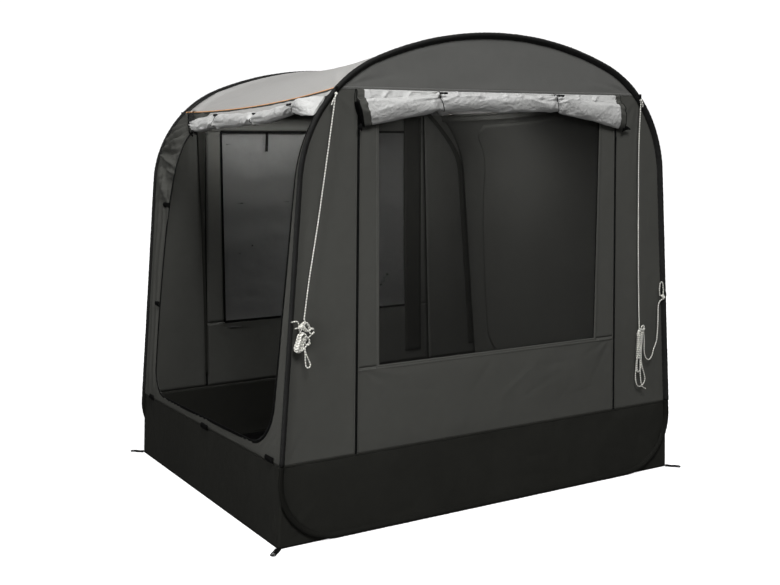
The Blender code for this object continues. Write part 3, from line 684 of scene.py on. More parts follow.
def copies_piece(name, template, places, finish, nodes=(), smooth=False):
    """Copies of a small piece, each at (place, x direction, y direction, z direction), as one mesh."""
    points, faces = template
    all_points, all_faces = [], []
    for k, (place, along, across, up) in enumerate(places):
        all_points.append(points[:, :1] * along + points[:, 1:2] * across + points[:, 2:] * up + place)
        all_faces += [[index + k * len(points) for index in face] for face in faces]
    return finish_piece(add_mesh(name, np.concatenate(all_points), all_faces), finish, nodes, smooth)


# Shader node groups


def new_group(name, inputs, outputs):
    """A shader group whose inputs are a vector and the named values, and its two ends' sockets."""
    group = bpy.data.node_groups.new(name, "ShaderNodeTree")
    group.interface.new_socket(name="Vector", in_out="INPUT", socket_type="NodeSocketVector")
    for label, value in inputs.items():
        socket = group.interface.new_socket(name=label, in_out="INPUT", socket_type="NodeSocketFloat")
        socket.default_value = value
    for label in outputs:
        group.interface.new_socket(name=label, in_out="OUTPUT", socket_type="NodeSocketFloat")
    return group, group.nodes.new("NodeGroupInput").outputs, group.nodes.new("NodeGroupOutput").inputs


def add_node(tree, kind, inputs, **settings):
    """A shader node whose inputs are set to values or fed by other nodes' outputs."""
    node = tree.nodes.new(f"ShaderNode{kind}")
    for name, value in settings.items():
        setattr(node, name, value)
    feed(tree, node, inputs)
    return node


def feed(tree, node, inputs):
    for label, value in inputs.items():
        if isinstance(value, bpy.types.NodeSocket):
            tree.links.new(value, node.inputs[label])
        else:
            node.inputs[label].default_value = value


def maths(tree, operation, *values):
    return add_node(tree, "Math", dict(enumerate(values)), operation=operation).outputs[0]


def group_threads(name, label, pitch, operation, result):
    """Threads that run both ways, as two crossed waves joined by one operation."""
    group, inside, out = new_group(name, {label: pitch}, [result])
    scale = maths(group, "DIVIDE", 0.314, inside[label])
    heights = []
    for direction in ("X", "Y"):
        inputs = {"Vector": inside["Vector"], "Scale": scale}
        wave = add_node(group, "TexWave", inputs, bands_direction=direction)
        heights.append(wave.outputs["Fac"])
    group.links.new(maths(group, operation, *heights), out[result])


def group_mottle():
    """A slow change of tone over a cloth, around 1."""
    group, inside, out = new_group("cloth_mottle", {"Size": 0.1, "Amount": 0.1}, ["Tone"])
    scale = maths(group, "DIVIDE", 1.0, inside["Size"])
    noise = add_node(group, "TexNoise", {"Detail": 4, "Vector": inside["Vector"], "Scale": scale})
    spread = maths(group, "SUBTRACT", noise.outputs["Fac"], 0.5)
    group.links.new(maths(group, "MULTIPLY_ADD", spread, inside["Amount"], 1.0), out["Tone"])


def group_crinkle():
    """Sharp-edged small creases of a coated cloth that has been folded away."""
    group, inside, out = new_group("coated_crinkle", {"Size": 0.05}, ["Height"])
    scale = maths(group, "DIVIDE", 1.0, inside["Size"])
    bend = add_node(group, "TexNoise", {"Detail": 3, "Vector": inside["Vector"], "Scale": scale})
    bent = {0: bend.outputs["Color"], 1: (0.03, 0.03, 0.03), 2: inside["Vector"]}
    shift = add_node(group, "VectorMath", bent, operation="MULTIPLY_ADD")
    places = {"Vector": shift.outputs["Vector"], "Scale": scale}
    cells = add_node(group, "TexVoronoi", places, feature="DISTANCE_TO_EDGE")
    ridge = maths(group, "MINIMUM", cells.outputs["Distance"], 0.35)
    group.links.new(maths(group, "MULTIPLY_ADD", bend.outputs["Fac"], 0.6, ridge), out["Height"])


def group_stitches():
    """Dashes of thread along a tape whose UV runs along it in X and across it in Y."""
    values = {"Row": 0.0, "Pitch": 0.0042, "Thread": 0.0007}
    group, inside, out = new_group("stitch_row", values, ["Mask"])
    parts = add_node(group, "SeparateXYZ", {0: inside["Vector"]}).outputs
    step = maths(group, "DIVIDE", parts["X"], inside["Pitch"])
    dash = maths(group, "LESS_THAN", maths(group, "FRACT", step), 0.68)
    offset = maths(group, "ABSOLUTE", maths(group, "SUBTRACT", parts["Y"], inside["Row"]))
    near = maths(group, "LESS_THAN", offset, inside["Thread"])
    group.links.new(maths(group, "MULTIPLY", dash, near), out["Mask"])


def group_braid():
    """Strands that spiral both ways round a rope, with dark flecks, on a UV of length and turn."""
    group, inside, out = new_group("rope_braid", {"Pitch": 0.006}, ["Height", "Fleck"])
    parts = add_node(group, "SeparateXYZ", {0: inside["Vector"]}).outputs
    step = maths(group, "DIVIDE", parts["X"], inside["Pitch"])
    waves = []
    for turns in (2.0, -2.0):
        phase = maths(group, "MULTIPLY_ADD", parts["Y"], turns, step)
        waves.append(maths(group, "SINE", maths(group, "MULTIPLY", phase, 2 * math.pi)))
    group.links.new(maths(group, "MAXIMUM", *waves), out["Height"])
    slow = maths(group, "MULTIPLY", step, 0.58)
    group.links.new(maths(group, "GREATER_THAN", maths(group, "FRACT", slow), 0.55), out["Fleck"])


def build_groups():
    group_threads("plain_weave", "Thread", 0.001, "MULTIPLY", "Height")
    group_threads("net_threads", "Pitch", 0.0018, "MAXIMUM", "Cover")
    group_mottle()
    group_crinkle()
    group_stitches()
    group_braid()


# Materials


def new_material(name, roughness, gloss=0.2, **inputs):
    """The tree, shader and texture coordinates of a new material."""
    material = bpy.data.materials.new(f"tent_{name}")
    material.use_nodes = True
    tree = material.node_tree
    shader = tree.nodes["Principled BSDF"]
    feed(tree, shader, {"Roughness": roughness, "Specular IOR Level": gloss, **inputs})
    return tree, shader, tree.nodes.new("ShaderNodeTexCoord").outputs


def place_group(tree, name, vector, **values):
    node = tree.nodes.new("ShaderNodeGroup")
    node.node_tree = bpy.data.node_groups[name]
    feed(tree, node, {"Vector": vector, **values})
    return node.outputs


def mottle(tree, vector, size, amount):
    return place_group(tree, "cloth_mottle", vector, Size=size, Amount=amount)["Tone"]


def scaled_colour(tree, colour, tone):
    """The colour times a tone that changes over the surface."""
    inputs = {"Factor": 1.0, "A": (*colour, 1.0), "B": tone}
    return add_node(tree, "Mix", inputs, data_type="RGBA", blend_type="MULTIPLY").outputs["Result"]


def blended_colour(tree, mask, low, high):
    """From one colour to another by a mask; either may be a socket."""
    return add_node(tree, "Mix", {"Factor": mask, "A": low, "B": high}, data_type="RGBA").outputs["Result"]


def bump_chain(tree, shader, layers):
    """Bump nodes in a row: each layer is (height, depth in metres)."""
    last = {}
    for height, depth in layers:
        bump = add_node(tree, "Bump", {"Strength": 1.0, "Distance": depth, "Height": height, **last})
        last = {"Normal": bump.outputs["Normal"]}
    feed(tree, shader, last)


def cloth_material(name, colour, roughness, thread, patch, amount, crinkle, depth, gloss=0.2, stitched=()):
    """Coated cloth: mottled tone, weave, small creases and, on a tape, rows of stitches."""
    tree, shader, coordinates = new_material(name, roughness, gloss)
    space, surface = coordinates["Object"], coordinates["UV"]
    fine = mottle(tree, space, patch / 9, amount * 0.6)
    base = scaled_colour(tree, colour, maths(tree, "MULTIPLY", mottle(tree, space, patch, amount), fine))
    weave = place_group(tree, "plain_weave", surface, Thread=thread)["Height"]
    wrinkle = place_group(tree, "coated_crinkle", space, Size=crinkle)["Height"]
    layers = [(wrinkle, depth), (weave, thread * 0.12)]
    if stitched:
        masks = [place_group(tree, "stitch_row", surface, Row=row)["Mask"] for row in stitched]
        mask = maths(tree, "MAXIMUM", *masks)
        base = blended_colour(tree, mask, base, (*(min(1.0, 1.9 * part + 0.01) for part in colour), 1.0))
        layers.append((mask, 0.0005))
    feed(tree, shader, {"Base Color": base, "Roughness": maths(tree, "MULTIPLY", fine, roughness)})
    bump_chain(tree, shader, layers)


def net_material(name, colour, cover):
    """Fine netting: dark threads with gaps that let the view through."""
    tree, shader, coordinates = new_material(name, 0.9, 0.0)
    tone = mottle(tree, coordinates["Object"], 0.25, 0.12)
    threads = place_group(tree, "net_threads", coordinates["UV"], Pitch=0.0018)["Cover"]
    alpha = maths(tree, "MULTIPLY", maths(tree, "MULTIPLY_ADD", threads, 0.16, cover - 0.11), tone)
    feed(tree, shader, {"Base Color": scaled_colour(tree, colour, tone), "Alpha": alpha})
    bump_chain(tree, shader, [(threads, 0.0002)])


def rope_material(name, colour):
    """Braided rope with grey flecks."""
    tree, shader, coordinates = new_material(name, 0.75, **{"Sheen Weight": 0.2})
    braid = place_group(tree, "rope_braid", coordinates["UV"], Pitch=0.0065)
    base = scaled_colour(tree, colour, mottle(tree, coordinates["Object"], 0.03, 0.25))
    fleck = maths(tree, "MULTIPLY", braid["Fleck"], 0.7)
    grey = (*(0.28 * part for part in colour), 1.0)
    feed(tree, shader, {"Base Color": blended_colour(tree, fleck, base, grey)})
    bump_chain(tree, shader, [(braid["Height"], 0.0006)])


def trim_material(name, colour, roughness, rib, metallic=0.0, gloss=0.25):
    """Moulded plastic, webbing or metal with fine ribs or grain."""
    tree, shader, coordinates = new_material(name, roughness, gloss, Metallic=metallic)
    space = coordinates["Object"]
    tone = mottle(tree, space, 0.02, 0.35)
    grain = place_group(tree, "plain_weave", space, Thread=rib)["Height"]
    rough_tone = maths(tree, "MULTIPLY", tone, roughness)
    feed(tree, shader, {"Base Color": scaled_colour(tree, colour, tone), "Roughness": rough_tone})
    bump_chain(tree, shader, [(grain, rib * 0.2)])


def build_materials():
    hue = colours()
    wall = dict(roughness=0.72, thread=0.0012, patch=0.35, amount=0.16)
    wall.update(crinkle=0.075, depth=0.0008, gloss=0.02)
    cloth_material("wall_cloth", hue.wall, **wall)
    cloth_material("gable_cloth", hue.gable, **wall)
    cloth_material("wall_seam", hue.wall, stitched=(-0.0035, 0.0035), **wall)
    cloth_material("gable_seam", hue.gable, stitched=(-0.0035, 0.0035), **wall)
    mud = dict(roughness=0.5, thread=0.001, patch=0.4, amount=0.3, crinkle=0.09, depth=0.0015, gloss=0.02)
    cloth_material("mud_cloth", hue.mud, **mud)
    cloth_material("mud_seam", hue.mud, stitched=(-0.0035, 0.0035), **mud)
    cloth_material("hem_cloth", hue.hem, **mud)
    cloth_material("ground_cloth", hue.ground, 0.65, 0.0015, 0.4, 0.4, 0.12, 0.002, gloss=0.02)
    cloth_material("roof_cloth", hue.roof, 0.6, 0.001, 0.5, 0.05, 0.11, 0.0008)
    silver = dict(roughness=0.42, thread=0.001, patch=0.09, amount=0.14)
    cloth_material("silver_cloth", hue.silver, gloss=0.4, crinkle=0.024, depth=0.0042, **silver)
    cloth_material("lining_cloth", hue.lining, gloss=0.2, crinkle=0.06, depth=0.0012, **silver)
    cloth_material("sleeve_cloth", hue.sleeve, 0.5, 0.0016, 0.12, 0.4, 0.02, 0.001, gloss=0.04)
    net_material("window_net", hue.net, 0.24)
    rope_material("braided_rope", hue.rope)
    trim_material("zip_tape", hue.trim, 0.7, 0.0011, gloss=0.03)
    trim_material("zip_coil", hue.trim, 0.45, 0.0009)
    trim_material("moulded_black", hue.trim, 0.4, 0.002, gloss=0.12)
    trim_material("black_webbing", hue.trim, 0.75, 0.0018, gloss=0.03)
    trim_material("steel_eyelet", (0.5, 0.5, 0.5), 0.3, 0.003, metallic=1.0, gloss=0.5)
    cloth_material("orange_piping", hue.piping, 0.6, 0.0009, 0.05, 0.15, 0.01, 0.0003)


# Stage


def soft_light(name, place, aim, size, power, spread=None):
    light = bpy.data.lights.new(name, "AREA")
    light.shape = "RECTANGLE"
    light.size, light.size_y = size
    light.energy = power
    lamp = bpy.data.objects.new(name, light)
    lamp.location = place
    lamp.rotation_euler = (Vector(aim) - Vector(place)).to_track_quat("-Z", "Y").to_euler()
    if spread:
        light.spread = math.radians(spread)
        lamp.visible_camera = False
        lamp.visible_glossy = False
    bpy.context.scene.collection.objects.link(lamp)


def remapped(tree, value, low, high, start=0.0, end=1.0):
    """A value between two ends, carried over to two others."""
    inputs = {"Value": value, "From Min": start, "From Max": end, "To Min": low, "To Max": high}
    return add_node(tree, "MapRange", inputs).outputs["Result"]


def camera_only(tree):
    """1 where the camera looks straight at a surface and 0 for the light that it sends on."""
    return tree.nodes.new("ShaderNodeLightPath").outputs["Is Camera Ray"]


def make_world():
    """A white backdrop in a dim room that is brighter overhead."""
    world = bpy.data.worlds.new("studio")
    world.use_nodes = True
    tree = world.node_tree
    coordinates = tree.nodes.new("ShaderNodeTexCoord").outputs
    parts = add_node(tree, "SeparateXYZ", {0: coordinates["Generated"]}).outputs
    height = remapped(tree, parts["Z"], ROOM_LIGHT, 3.0 * ROOM_LIGHT)
    strength = remapped(tree, camera_only(tree), height, 1.05)
    feed(tree, tree.nodes["Background"], {"Color": (1.0, 1.0, 1.0, 1.0), "Strength": strength})
    bpy.context.scene.world = world


def make_floor():
    """A pale floor that hardly lights the tent from below."""
    deselect()
    bpy.ops.mesh.primitive_plane_add(size=80, location=(0, 0, -0.002))
    floor = bpy.context.active_object
    floor.name = "floor"
    bpy.ops.object.transform_apply(location=True, rotation=False, scale=False)
    tree, shader, coordinates = new_material("pale_floor", 0.95, 0.0)
    seen = camera_only(tree)
    distance = add_node(tree, "VectorMath", {0: coordinates["Object"]}, operation="LENGTH")
    far = remapped(tree, distance.outputs["Value"], FLOOR_GLOW, 1.0, 1.2, 4.0)
    feed(tree, shader, {
        "Base Color": blended_colour(tree, seen, (0.16, 0.16, 0.16, 1.0), (0.80, 0.80, 0.80, 1.0)),
        "Emission Color": (1.0, 1.0, 1.0, 1.0),
        "Emission Strength": maths(tree, "MULTIPLY", seen, far),
    })
    floor.data.materials.append(bpy.data.materials["tent_pale_floor"])


def make_stage():
    make_world()
    make_floor()
    soft_light("key", (-1.6, -5.0, 6.3), (-0.1, -0.8, 1.1), (2.2, 2.2), 410.0)
    soft_light("top", (0.2, 0.2, 4.8), (0.0, 0.1, 1.8), (3.0, 3.0), 30.0)
    soft_light("fill_left", (-3.8, -0.7, 3.3), (-0.9, -0.1, 1.2), (1.5, 1.5), 72.0)
    soft_light("front_left", (-3.2, -1.9, 1.1), (-0.2, -0.8, 0.8), (0.6, 1.4), 1.8, spread=36)
    soft_light("fill_right", (2.6, -2.8, 4.2), (0.5, -0.8, 1.5), (1.6, 1.6), 5.0)
    soft_light("cabin", (-0.35, 0.62, 1.74), (-0.35, 0.63, 1.2), (0.7, 0.10), 4.0, spread=165)
    soft_light("cabin_side", (0.30, 0.20, 1.66), (0.92, 0.44, 0.7), (0.4, 0.6), 6.0, spread=160)
    camera = bpy.data.cameras.new("camera")
    camera.lens = CAMERA_LENS
    camera.sensor_width = 36.0
    camera.shift_y = CAMERA_SHIFT
    camera.clip_end = 200
    view = bpy.data.objects.new("camera", camera)
    view.location = CAMERA_PLACE
    view.rotation_euler = CAMERA_TURN
    bpy.context.scene.collection.objects.link(view)
    bpy.context.scene.camera = view
    bpy.context.scene.view_settings.view_transform = "Standard"


# Guy ropes


def stadium(middle, half, radius, tilt, depth, turns, pinch=0.0, spread=0.0):
    """Turns of rope round a long loop in the plane at ROPE_Y; depth is where each turn lies in Y."""
    points = 26
    share = np.arange(points * turns) / points
    arc = math.pi * radius
    run = (share % 1.0) * (4 * half + 2 * arc)
    u, v = np.zeros(len(run)), np.zeros(len(run))
    up = run < 2 * half
    over = (run >= 2 * half) & (run < 2 * half + arc)
    down = (run >= 2 * half + arc) & (run < 4 * half + arc)
    under = run >= 4 * half + arc
    u[up], v[up] = radius, -half + run[up]
    turn = (run[over] - 2 * half) / radius
    u[over], v[over] = radius * np.cos(turn), half + radius * np.sin(turn)
    u[down], v[down] = -radius, half - (run[down] - 2 * half - arc)
    turn = (run[under] - 4 * half - arc) / radius
    u[under], v[under] = -radius * np.cos(turn), -half - radius * np.sin(turn)
    u = u * (1 - pinch * np.exp(-((v / (0.35 * half + 0.004)) ** 2)))
    layer = np.interp(share, np.linspace(0, turns, len(depth)), depth)
    outward = 2 * share / turns - 1
    v = v * (1 - 40 * spread * outward**2)
    wander = 0.0012 * np.sin(2.1 * share * math.pi + 1.3 * np.floor(share)) + spread * outward
    x = middle[0] + u * math.cos(tilt) - v * math.sin(tilt) + wander
    z = middle[1] + u * math.sin(tilt) + v * math.cos(tilt)
    return np.stack((x, ROPE_Y + layer, z), 1)


def smooth_line(points, spacing, passes=3):
    """A smooth evenly spaced line through a rough one, with its two ends kept."""
    points = np.asarray(points, float)
    count = max(8, round(line_length(points) / (spacing / 2)))
    line = resample(points, count)
    for _ in range(passes):
        inner = (line[:-4] + 2 * line[1:-3] + 3 * line[2:-2] + 2 * line[3:-1] + line[4:]) / 9
        line[2:-2] = inner
    return resample(line, max(8, round(line_length(line) / spacing)))


def in_front(route, depth=0.0):
    return np.array([(x, ROPE_Y + depth, z) for x, z in route])


def curve_through(route, steps=12, closed=False):
    """A smooth curve through a line's own points; a closed one ends where it starts."""
    knots = np.asarray(route, float)
    if closed:
        lines = [np.roll(knots, k, 0) for k in (1, 0, -1, -2)]
    else:
        padded = np.concatenate(([2 * knots[0] - knots[1]], knots, [2 * knots[-1] - knots[-2]]))
        lines = [padded[k:] for k in range(4)]
    curve = []
    for a, b, c, d in zip(*lines):
        bend, twist = 2 * a - 5 * b + 4 * c - d, 3 * b - a - 3 * c + d
        curve += [0.5 * (2 * b + (c - a) * t + bend * t**2 + twist * t**3) for t in np.arange(steps) / steps]
    curve.append(curve[0] if closed else knots[-1])
    return np.array(curve)


def knot_piece(name, place, tilt, count, radius):
    """A small knot: rope turns laid side by side, each a torus squeezed a little."""
    template = torus_template(radius, sizes().rope * 0.48, 18)
    axis = unit(np.array((math.sin(tilt), 0.15, math.cos(tilt))))
    side = unit(np.cross(axis, (0, 1.0, 0)))
    front = np.cross(axis, side)
    places = []
    for k in range(count):
        lean = 0.35 * math.sin(2.2 * k)
        tipped = axis * math.cos(lean) + side * math.sin(lean)
        other = side * math.cos(lean) - axis * math.sin(lean)
        shift = (k - (count - 1) / 2) * sizes().rope * 0.86
        places.append((np.array(place) + axis * shift, other, front, tipped))
    return copies_piece(name, template, places, "braided_rope", smooth=True)


def torus_template(major, minor, segments):
    deselect()
    bpy.ops.mesh.primitive_torus_add(
        major_radius=major, minor_radius=minor, major_segments=segments, minor_segments=8
    )
    return template_of(bpy.context.active_object)


def rope_end(name, route):
    """The rope's short free end beside its knot."""
    line = curve_through(in_front(route, -0.0045), 8)
    return tube_piece(name, line, sizes().rope * 0.48, 10, "rope", "braided_rope")


def rope_piece(side, parts, passes, knots):
    """A guy rope through its drop, hank and tail, with the knots and free ends that belong to it."""
    path = smooth_line(np.concatenate(parts), 0.004, passes)
    nodes = [f"guy_{part}_{side}" for part in ("rope", "hank", "tail")]
    obj = tube_piece(f"rope_{side}", path, sizes().rope / 2, 10, "rope", "braided_rope", nodes)


def make_ropes():
    parts = [
        curve_through(in_front(LEFT_ROPE[:-1] + ((-0.950, 0.921),))),
        stadium((-0.9445, 0.8915), 0.011, 0.0105, math.radians(32), (0.002, -0.0115), 4, spread=0.005),
        stadium((-0.9228, 0.8743), 0.002, 0.0105, math.radians(20), (-0.010, -0.013), 1),
        stadium((-0.9700, 0.8310), 0.031, 0.0105, math.radians(-19), (0.007, -0.014), 5, 0.2, 0.0052),
        stadium((-0.9450, 0.8370), 0.008, 0.0105, math.radians(30), (-0.013, -0.014), 1),
        curve_through(in_front(LEFT_LOOP, -0.012)),
        in_front(((-0.952, 0.80), (-0.962, 0.85), (-0.9665, 0.885)), 0.011),
        in_front(LEFT_TAIL),
    ]
    rope_piece("left", parts, 3, [
        knot_piece("rope_knot_left_top", (-0.8015, ROPE_Y - 0.001, 1.7915), 0.9, 2, 0.0032),
        rope_end("rope_end_left_top", ((-0.799, 1.793), (-0.808, 1.778), (-0.818, 1.762), (-0.824, 1.748))),
        knot_piece("rope_knot_left_leg", (-0.9665, ROPE_Y, 0.893), 0.9, 3, 0.0055),
        rope_end("rope_end_left_leg", ((-0.9637, 0.888), (-0.978, 0.890), (-0.9936, 0.8888))),
        rope_end("rope_end_left_short", ((-0.9610, 0.886), (-0.966, 0.879), (-0.9715, 0.868))),
    ])
    turns = 12
    angle = np.linspace(math.pi, math.pi + 2 * math.pi * turns, turns * 20)
    share = np.linspace(0, 1, len(angle))
    x = 0.8400 + 0.0030 * share + 0.0125 * np.cos(angle)
    parts = [
        curve_through(in_front(RIGHT_ROPE)),
        stadium((0.842, 0.612), 0.096, 0.0105, math.radians(-2), (-0.007, -0.001, 0.004), 2, pinch=0.3),
        curve_through(in_front(RIGHT_LOOP, 0.006)),
        np.stack((x, ROPE_Y + 0.0125 * np.sin(angle), 0.577 + 0.118 * share), 1),
        stadium((0.856, 0.722), 0.001, 0.0105, 0.0, (-0.004, -0.009), 1),
        curve_through(in_front(RIGHT_TAIL)),
    ]
    rope_piece("right", parts, 2, [
        knot_piece("rope_knot_right_top", (0.8015, ROPE_Y - 0.001, 1.7915), -0.5, 2, 0.0032),
        rope_end("rope_end_right_top", ((0.800, 1.794), (0.808, 1.783), (0.812, 1.771), (0.811, 1.762))),
        knot_piece("rope_knot_right_leg", (0.9885, ROPE_Y, 0.862), -0.5, 4, 0.0058),
        rope_end("rope_end_right_hank", RIGHT_HANK_END),
        rope_end("rope_end_right_leg", RIGHT_LEG_END),
    ])


# Sleeves


def make_sleeve(prefix, side):
    """The black sleeve above the mud wall, and its hem along the ground in the mud wall's cloth."""
    points, outward = hoop_line(0.011)
    turn = np.linspace(0, 2 * math.pi, 19)[:-1]
    pull = ease(-np.cos(turn), 0.30, 0.95) * (np.sin(turn) > -0.35)
    r = SLEEVE_RADIUS * np.cos(turn) - 0.0085 * pull
    t = SLEEVE_RADIUS * np.sin(turn)
    t = np.where(pull > 0, t * (1 - 0.55 * pull) + 0.0070 * pull, t)
    high = points[:, 1] > (MUD_TOP_FRONT - 0.004)
    first = int(np.argmax(high))
    last = len(high) - int(np.argmax(high[::-1]))
    hem = np.concatenate((np.arange(last - 1, len(points)), np.arange(0, first + 1)))
    for name, order, squash, slot, finish in (
        (f"{prefix}_sleeve", np.arange(first, last), 1.0, "sleeve", "sleeve_cloth"),
        (f"{prefix}_hem", hem, 0.5, "mud_cloth", "hem_cloth"),
    ):
        line, out = points[order], outward[order]
        along = run_of(line)
        gather = 0.00045 * np.sin(2 * math.pi * along / 0.019 + 2 * swell(along / 0.07, 0 * along, 5))
        gather += 0.0004 * rough(along / 0.03, 0 * along, 9)
        swollen = 1 + gather[:, None] / SLEEVE_RADIUS
        rr, tt = r[None, :] * swollen, t[None, :] * swollen
        tt = np.where(tt < 0, tt * squash, tt)
        height = line[:, 1] if side < 0 else drop(line[:, 1])
        x = line[:, None, 0] + rr * out[:, None, 0]
        z = height[:, None] + rr * out[:, None, 1]
        grid = np.stack((x, side * (HOOP_Y - tt) + 0 * x, z), -1)
        grid = np.concatenate((grid, grid[:, :1]), 1)
        around = np.linspace(0, 2 * math.pi * SLEEVE_RADIUS, grid.shape[1])
        capped_piece(name, grid, uv_grid(along, around), slot, finish, (f"{prefix}_hoop",))


def make_sleeves():
    for prefix, side in ENDS:
        make_sleeve(prefix, side)


# End walls


def zip_x(hand, z):
    foot, top = ZIP_LEFT if hand < 0 else ZIP_RIGHT
    return foot + (top - foot) * (z - MUD_TOP_FRONT) / (SEAM_HEIGHT - MUD_TOP_FRONT)


def patch(left, right, low, high, step):
    """A grid between two edges: a across, b up, and the distance to the nearest edge of each kind."""
    rows = max(3, round((high - low) / step))
    b = np.linspace(low, high, rows + 1)
    start, end = left(b), right(b)
    columns = max(3, round(float(np.max(end - start)) / step))
    share = np.linspace(0, 1, columns + 1)
    a = start[:, None] + (end - start)[:, None] * share[None, :]
    b = np.broadcast_to(b[:, None], a.shape)
    ea = np.minimum(a - start[:, None], end[:, None] - a)
    eb = np.minimum(b - low, high - b)
    return a, b, ea, eb


def constant(value):
    return lambda b: value + 0 * b


def wall_relief(a, b, ea, eb, seed, depth=1.0):
    """Slack between seams: broad swells, small gathers at the stitching and a few creases."""
    inside = ease(np.minimum(ea, eb), 0.0, 0.05)
    broad = 0.0035 * rough(a / 0.42, b / 0.55, seed) + 0.0012 * rough(a / 0.11, b / 0.2, seed + 3)
    edge = puckers(ea, b, 0.034, 0.0011, 0.03, seed + 6) * ease(ea, 0.0, 0.008)
    edge += puckers(eb, a, 0.038, 0.0010, 0.025, seed + 8) * ease(eb, 0.0, 0.008)
    box = (float(a.min()), float(b.min()), float(a.max()), float(b.max()))
    scattered = creases(a, b, box, 9, 0.28, 0.009, 0.0013, seed + 11) * inside
    return depth * (broad * inside + edge + scattered)


def end_panel(name, side, left, right, low, high, seed, cloth, nodes, step, extra, depth=1.0):
    """A panel of an end wall between two edges, with its own folds beside those of every panel."""
    a, b, ea, eb = patch(left, right, low, high, step)
    relief = wall_relief(a, b, ea, eb, seed, depth)
    if extra is not None:
        relief += extra(a, b) * ease(np.minimum(ea, eb), 0.0, 0.02)
    cloth_piece(name, end_point(a, b, side), (a, b), relief, (0, side, 0), cloth, nodes)


def make_gable(prefix, side):
    columns, rows = 132, 22
    turn = np.linspace(-1, 1, columns + 1)
    across = (GABLE_HALF - 0.002) * np.sign(turn) * (1 - (1 - np.abs(turn)) ** 1.15)
    share = np.linspace(0, 1, rows + 1)
    top = arch_height(across)
    a = np.broadcast_to(across[None, :], (rows + 1, columns + 1))
    b = SEAM_HEIGHT + (top - SEAM_HEIGHT)[None, :] * share[:, None]
    edge = np.minimum(b - SEAM_HEIGHT, top[None, :] - b)
    broad = 0.0025 * rough(a / 0.3, b / 0.2, 21) + 0.0008 * rough(a / 0.07, b / 0.09, 24)
    relief = ease(edge, 0.0, 0.04) * broad
    relief += puckers(top[None, :] - b, a, 0.03, 0.0011, 0.028, 27) * ease(edge, 0, 0.008)
    relief += puckers(b - SEAM_HEIGHT, a, 0.041, 0.0012, 0.03, 29) * ease(edge, 0, 0.008)
    for hand in (LEFT, RIGHT):
        spread = np.radians((12, 24, 38)) if hand > 0 else math.pi - np.radians((12, 24, 38))
        corner = (-hand * 0.74, SEAM_HEIGHT + 0.01)
        relief += fan(a, b, corner, spread, 0.30, 0.010, 0.0018) * ease(edge, 0, 0.015)
    cloth_piece(f"{prefix}_gable_cloth", end_point(a, b, side), (a, b), relief, (0, side, 0),
                "gable_cloth", (f"{prefix}_gable",))


def window_box(side):
    if side < 0:
        return WINDOW_LOW.x, WINDOW_HIGH.x, WINDOW_LOW.z, WINDOW_HIGH.z
    return BACK_WINDOW_LOW.x, BACK_WINDOW_HIGH.x, rise(BACK_WINDOW_LOW.z), rise(BACK_WINDOW_HIGH.z)


